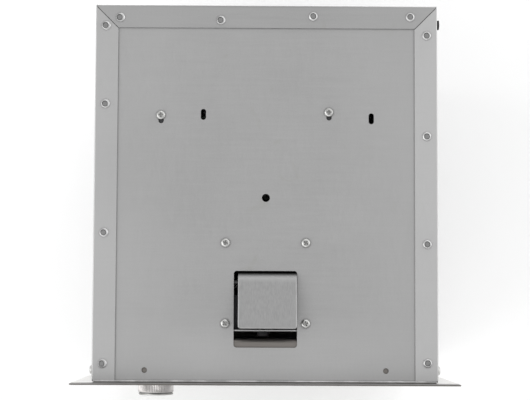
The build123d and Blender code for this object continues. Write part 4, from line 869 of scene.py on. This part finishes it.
# ------------------------------------------------------------------ dial
def make_dial():
    """The knurled grip, a groove, a turned rim and a recessed face with a pointer line."""
    low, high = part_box("selector_knob")
    centre = (low + high) / 2
    radius, length = (high.x - low.x) / 2, high.y - low.y
    ribs, per_rib = 64, 6
    rim, groove, cup = 1.9 * MM, 0.9 * MM, 4.4 * MM
    knurl_low, knurl_high = 1.2 * MM, length - rim - groove - 0.5 * MM

    def relief(r, h, a):
        if r < radius - 0.02 * MM or not knurl_low < h < knurl_high:
            return r, h
        phase = (a * ribs / (2 * math.pi)) % 1
        return r - 0.55 * MM * abs(2 * phase - 1) ** 1.5, h

    face = length - 0.8 * MM
    profile = [(9.0 * MM, cup, 0), (9.0 * MM, 0.3 * MM, 0), (9.4 * MM, 0, 0), (radius - 1.0 * MM, 0, 0),
               (radius - 0.2 * MM, 0.6 * MM, 0), (radius, knurl_low, 0)]
    steps = 10
    profile += [(radius, knurl_low + (knurl_high - knurl_low) * (k + 0.5) / steps, 0) for k in range(steps)]
    # the groove behind the grip takes the darker mandrel steel as painted shade
    profile += [(radius, knurl_high, 0), (radius - 0.25 * MM, knurl_high + 0.4 * MM, 0),
                (radius - 1.3 * MM, knurl_high + 0.5 * MM, 1), (radius - 1.3 * MM, length - rim, 1)]
    # the rim and the sunk face: (how far in from the grip, how far behind the end, material)
    rim_and_face = [(0.7, rim / MM - 0.1, 2), (0.5, rim / MM - 0.3, 2), (0.5, 0.8, 2), (0.75, 0.35, 2),
                    (1.4, 0, 2), (3.2, 0, 0), (3.5, 0.25, 0), (3.6, 0.8, 0), (5.0, 0.8, 0)]
    profile += [(radius - inset * MM, length - behind * MM, m) for inset, behind, m in rim_and_face]
    profile = [(0, cup, 0)] + profile + [(0, face, 0)]
    bm = bmesh.new()
    foot = Vector((centre.x, high.y, centre.z))
    turned(bm, profile, facing(foot, Vector((0, -1, 0))), ribs * per_rib, relief)
    finish_piece("dial", bm, "selector_dial", ["knurled_aluminium", "mandrel_steel", "dial_rim"],
                 ["selector_knob"])
    bm = bmesh.new()
    line_w, line_l, line_z = 1.1 * MM, 7.5 * MM, centre.z + radius * 0.56
    plate(bm, centre.x, line_z, line_w, line_l, 0.5 * MM, low.y + 0.55 * MM, low.y + 0.82 * MM)
    finish_piece("dial_pointer", bm, "selector_dial", ["ink"])


# ------------------------------------------------------------------ keypad
DISH_R, DISH_DEPTH = 60.0 * MM, 0.6 * MM
KEY_CUSHION = [(0, 1.5), (0.12, 0.9), (0.4, 0.42), (0.85, 0.1), (1.3, 0)]  # (inset, depth) in mm


def dish(x, z):
    """How far a key's face is sunk at (x, z) from its centre."""
    return max(0.0, DISH_DEPTH - (x * x + z * z) / (2 * DISH_R))


def make_key(node):
    """A cushion-edged cap with a dished face."""
    low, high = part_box(node)
    centre, w, h, corner = (low + high) / 2, high.x - low.x, high.z - low.z, 2.0 * MM
    sides = [(0, high.y)] + [(inset * MM, low.y + depth * MM) for inset, depth in KEY_CUSHION]
    bm = bmesh.new()
    last = None
    for inset, y in sides:
        shape = outline(w - 2 * inset, h - 2 * inset, corner)
        ring = [bm.verts.new((centre.x + x, y, centre.z + z)) for x, z in shape]
        if last:
            bridge(bm, last, ring)
        else:
            bm.faces.new(ring)
        last = ring
    rim = [(v.co.x - centre.x, v.co.z - centre.z) for v in last]
    for k in range(1, 9):
        s = 1 - k / 9
        shape = [(x * s, z * s) for x, z in rim]
        ring = [bm.verts.new((centre.x + x, low.y + dish(x, z), centre.z + z)) for x, z in shape]
        bridge(bm, last, ring)
        last = ring
    bridge(bm, last, [bm.verts.new((centre.x, low.y + DISH_DEPTH, centre.z))])
    finish_piece("cap_" + node[4:], bm, node, ["key_metal"], [node])
    return centre, low


def lettering(name, text, centre, front, size, body, finish):
    """Raised figures that follow the key's dished face."""
    curve = bpy.data.curves.new(name, "FONT")
    curve.body, curve.size, curve.align_x, curve.align_y = text, size, "CENTER", "CENTER"
    curve.extrude, curve.resolution_u = 0.09 * MM, 5
    holder = bpy.data.objects.new(name + "_curve", curve)
    bpy.context.scene.collection.objects.link(holder)
    bpy.context.view_layer.update()
    mesh = bpy.data.meshes.new_from_object(holder.evaluated_get(bpy.context.evaluated_depsgraph_get()))
    bpy.data.objects.remove(holder)
    bm = bmesh.new()
    bm.from_mesh(mesh)
    bmesh.ops.remove_doubles(bm, verts=bm.verts, dist=0.004 * MM)
    for v in bm.verts:
        x, z, out = v.co.x, v.co.y, v.co.z
        v.co = Vector((centre.x + x, front + dish(x, z) - out, centre.z + z))
    bpy.data.meshes.remove(mesh)
    finish_piece(name, bm, body, [finish])


def make_keypad():
    marks = {"cancel": ("X", "red_ink"), "enter": ("O", "green_ink")}
    for node in sorted(n for n in NODES if n.startswith("key_")):
        centre, low = make_key(node)
        name = node[4:]
        text, ink = marks.get(name, (name, "ink"))
        lettering("figure_" + name, text, centre, low.y, 9.5 * MM, node, ink)
        if name == "5":
            bm = bmesh.new()
            dot = [(0.0, 0.35, 0), (0.35, 0.3, 0), (0.6, 0.12, 0), (0.7, -0.2, 0), (0, -0.2, 0)]
            spot = Vector((centre.x, low.y + dish(0, 6.0 * MM), centre.z - 6.0 * MM))
            turned(bm, [(r * MM, h * MM, m) for r, h, m in dot], facing(spot, Vector((0, -1, 0))), 20)
            finish_piece("tactile_dot", bm, node, ["key_metal"])


# ------------------------------------------------------------------ screen
def make_screen():
    """Glass, a black mask and a lit picture of plain tiles behind it."""
    w, h, corner = GLASS_HIGH.x - GLASS_LOW.x, GLASS_HIGH.z - GLASS_LOW.z, 5 * MM
    glass_t, mask_t, film, step = 2.4 * MM, 0.4 * MM, 0.01 * MM, 0.02 * MM
    x, z = middle("display_glass").x, middle("display_glass").z
    bm = bmesh.new()
    plate(bm, x, z, w, h, corner, GLASS_LOW.y, GLASS_LOW.y + glass_t)
    finish_piece("screen_pane", bm, "root", ["screen_glass"], ["display_glass"])

    mask_front = GLASS_HIGH.y - mask_t
    view_front, tile_front, mark_front = (mask_front - step * n for n in (1, 2, 3))
    on_view, on_tile = (tile_front, tile_front + film), (mark_front, tile_front)
    half_w, half_h, band, foot = 105, 64, 15, 8  # the picture, in mm
    tile_w, tile_h, tile_inset, tile_pitch, top_tile = 62, 20, 7, 28, 22
    layers = ["screen_black", "screen_blue", "screen_band", "screen_tile", "screen_mark"]
    black, deep_blue, band_blue, pale, ink_blue = range(len(layers))
    bm = bmesh.new()

    def shape(across, up, wide, tall, r, layer, tone):
        front, back = layer
        plate(bm, x + across * MM, z + up * MM, wide * MM, tall * MM, r * MM, front, back, tone)

    plate(bm, x, z, w, h, corner, mask_front, GLASS_HIGH.y, black)
    shape(0, 0, 2 * half_w, 2 * half_h, 0.5, (view_front, view_front + film), deep_blue)
    shape(0, half_h - band / 2, 2 * half_w, band, 0.5, on_view, band_blue)
    shape(0, foot / 2 - half_h, 2 * half_w, foot, 0.5, on_view, band_blue)
    for side in (-1, 1):
        for row in range(3):
            across, up = side * (half_w - tile_w / 2 - tile_inset), top_tile - tile_pitch * row
            shape(across, up, tile_w, tile_h, 3, on_view, pale)
            shape(across + 2 * side, up + 2.6, 34, 3.4, 1.6, on_tile, ink_blue)
            shape(across + 2 * side - 4, up - 4.2, 22, 2.2, 1.0, on_tile, ink_blue)
    shape(0, -2, 46, 30, 3, on_view, pale)
    shape(0, 4, 46, 6, 0.5, on_tile, ink_blue)
    shape(-12, -8, 10, 7, 1.5, on_tile, band_blue)
    shape(-66, half_h - band / 2, 52, 4, 1.8, on_tile, pale)
    finish_piece("screen_picture", bm, "root", layers)


# ------------------------------------------------------------------ marks on the fascia
def make_icons():
    """Printed signs: a card over its slot, a note over its outlet and a slip over its throat."""
    y0, y1 = FACE - 0.03 * MM, FACE + 0.01 * MM

    def frame_mark(bm, x, z, w, h, t, r):
        outer, inner = outline(w, h, r), outline(w - 2 * t, h - 2 * t, max(r - t, 0.1 * MM))
        rings = []
        for points, y in ((outer, y0), (inner, y0), (inner, y1), (outer, y1)):
            rings.append([bm.verts.new((x + px, y, z + pz)) for px, pz in points])
        for a, b in zip(rings, rings[1:] + rings[:1]):
            bridge(bm, a, b)

    slot_x, card_z = middle("card_reader_bezel").x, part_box("card_reader_bezel")[1].z + 9 * MM
    card_x, arrow_x = slot_x - 8 * MM, slot_x + 8 * MM
    bm = bmesh.new()
    frame_mark(bm, card_x, card_z, 15 * MM, 9.6 * MM, 0.7 * MM, 1.2 * MM)
    plate(bm, card_x, card_z + 2 * MM, 13.6 * MM, 1.8 * MM, 0.1 * MM, y0, y1)
    arrow = [(1.1, -4.5), (1.1, 0.5), (2.9, 0.5), (0, 4.8), (-2.9, 0.5), (-1.1, 0.5), (-1.1, -4.5)]
    prism(bm, [(arrow_x + px * MM, card_z + pz * MM) for px, pz in arrow], y0, y1)
    finish_piece("card_sign", bm, "root", ["ink"])

    note_x, note_z = middle("cash_shutter").x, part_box("cash_bezel")[0].z - 10 * MM
    bm = bmesh.new()
    frame_mark(bm, note_x, note_z, 22 * MM, 10.5 * MM, 0.7 * MM, 0.8 * MM)
    spot_r, spot_sides = 2.3 * MM, 28
    angles = [2 * math.pi * n / spot_sides for n in range(spot_sides)]
    spot = [(note_x + spot_r * math.cos(a), note_z + spot_r * math.sin(a)) for a in angles]
    prism(bm, spot, y0, y1)
    for side in (-1, 1):
        plate(bm, note_x + side * 7.4 * MM, note_z, 1.4 * MM, 1.4 * MM, 0.3 * MM, y0, y1)
    finish_piece("note_sign", bm, "root", ["ink"])

    slip_x, slip_z = middle("receipt_bezel").x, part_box("receipt_bezel")[1].z + 9.5 * MM
    bm = bmesh.new()
    slip_shape = [(-4.5, 6), (4.5, 6), (4.5, -5)]
    slip_shape += [(4.5 - 1.5 * n, -6.4 if n % 2 else -5) for n in range(1, 6)] + [(-4.5, -5)]
    prism(bm, [(slip_x + px * MM, slip_z + pz * MM * 0.9) for px, pz in slip_shape], y0, y1)
    finish_piece("slip_sign", bm, "root", ["ink"])


def make_guide_lights():
    """A lit bar on the lip of the card throat and of the note outlet."""
    bars = (("card_light", "card_reader_bezel", "card_reader_bezel", 7.5, 46, 3.0),
            ("note_light", "cash_bezel", "cash_shutter", 2.6, 90, 1.8))
    for name, node, centred_on, up, w, h in bars:
        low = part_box(node)[0]
        x, z = middle(centred_on).x, low.z + up * MM
        bm = bmesh.new()
        plate(bm, x, z, w * MM, h * MM, h * MM * 0.49, low.y - 0.35 * MM, low.y + 0.3 * MM)
        finish_piece(name, bm, "root", ["guide_green"])


# ------------------------------------------------------------------ inside
def make_board():
    """The control board: green mask, black chips, cream connectors, a heat sink and capacitors."""
    low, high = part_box("control_board")
    face = low.y + 1.6 * MM
    x0, z0 = (low.x + high.x) / 2, low.z
    # zones, in mm from the middle of the board's lower edge
    sink_x, sink_z, sink_half = -32, 50, 19.5
    connector_top, capacitor_foot, capacitor_left = 12, 66, 4

    def choose(c, normal):
        if c.y < face + 0.05 * MM:
            return 0
        x, z = (c.x - x0) / MM, (c.z - z0) / MM
        if max(abs(x - sink_x), abs(z - sink_z)) < sink_half:
            return 1
        if z < connector_top:
            return 2
        if z > capacitor_foot and x > capacitor_left:
            return 1 if normal.y > 0.9 else 4
        return 3

    finishes = ["circuit_board", "supply_case", "cream_plastic", "chip_plastic", "encoder_case"]
    recoloured("board", "control_board", "root", finishes, choose)


def make_inlet():
    """The inlet's blades are brass in a black moulding."""
    low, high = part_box("mains_inlet")
    x0, z0 = (low.x + high.x) / 2, (low.z + high.z) / 2
    blades, blade_reach = ((-7, -2), (0, 2), (7, -2)), 3.6

    def choose(c, normal):
        x, z = (c.x - x0) / MM, (c.z - z0) / MM
        blade = min(abs(x - across) + abs(z - up) for across, up in blades) < blade_reach
        inside = low.y + 7 * MM < c.y < high.y - 4 * MM
        return 1 if blade and inside else 0

    recoloured("inlet", "mains_inlet", "root", ["black_moulding", "pinion_brass"], choose)


def paint_nodes():
    """Every node that is still shown takes its slot's finish."""
    slots = {s["node"]: s["material_slot"] for s in frame["record"]["subparts"]}
    # the top, right side and rear panels take the painted shade and light copies of the zinc
    own = {"top_panel": "zinc_panel", "right_side_panel": "zinc_right", "back_panel": "zinc_rear",
           "latch_pin": "dark_bar", "board_bracket": "display_case"}
    for node, piece in NODES.items():
        piece.data.materials.clear()
        piece.data.materials.append(FINISHES[own.get(node, slots[node])])


bpy.context.scene.view_settings.view_transform = "Standard"
place_camera()
light_studio()
lay_floor()
FINISHES = make_finishes()
paint_nodes()
make_rivets()
make_screws()
make_tongue()
make_bracket()
make_latch_spring()
make_fascia()
make_seal()
make_dial()
make_keypad()
make_screen()
make_icons()
make_guide_lights()
make_board()
make_inlet()
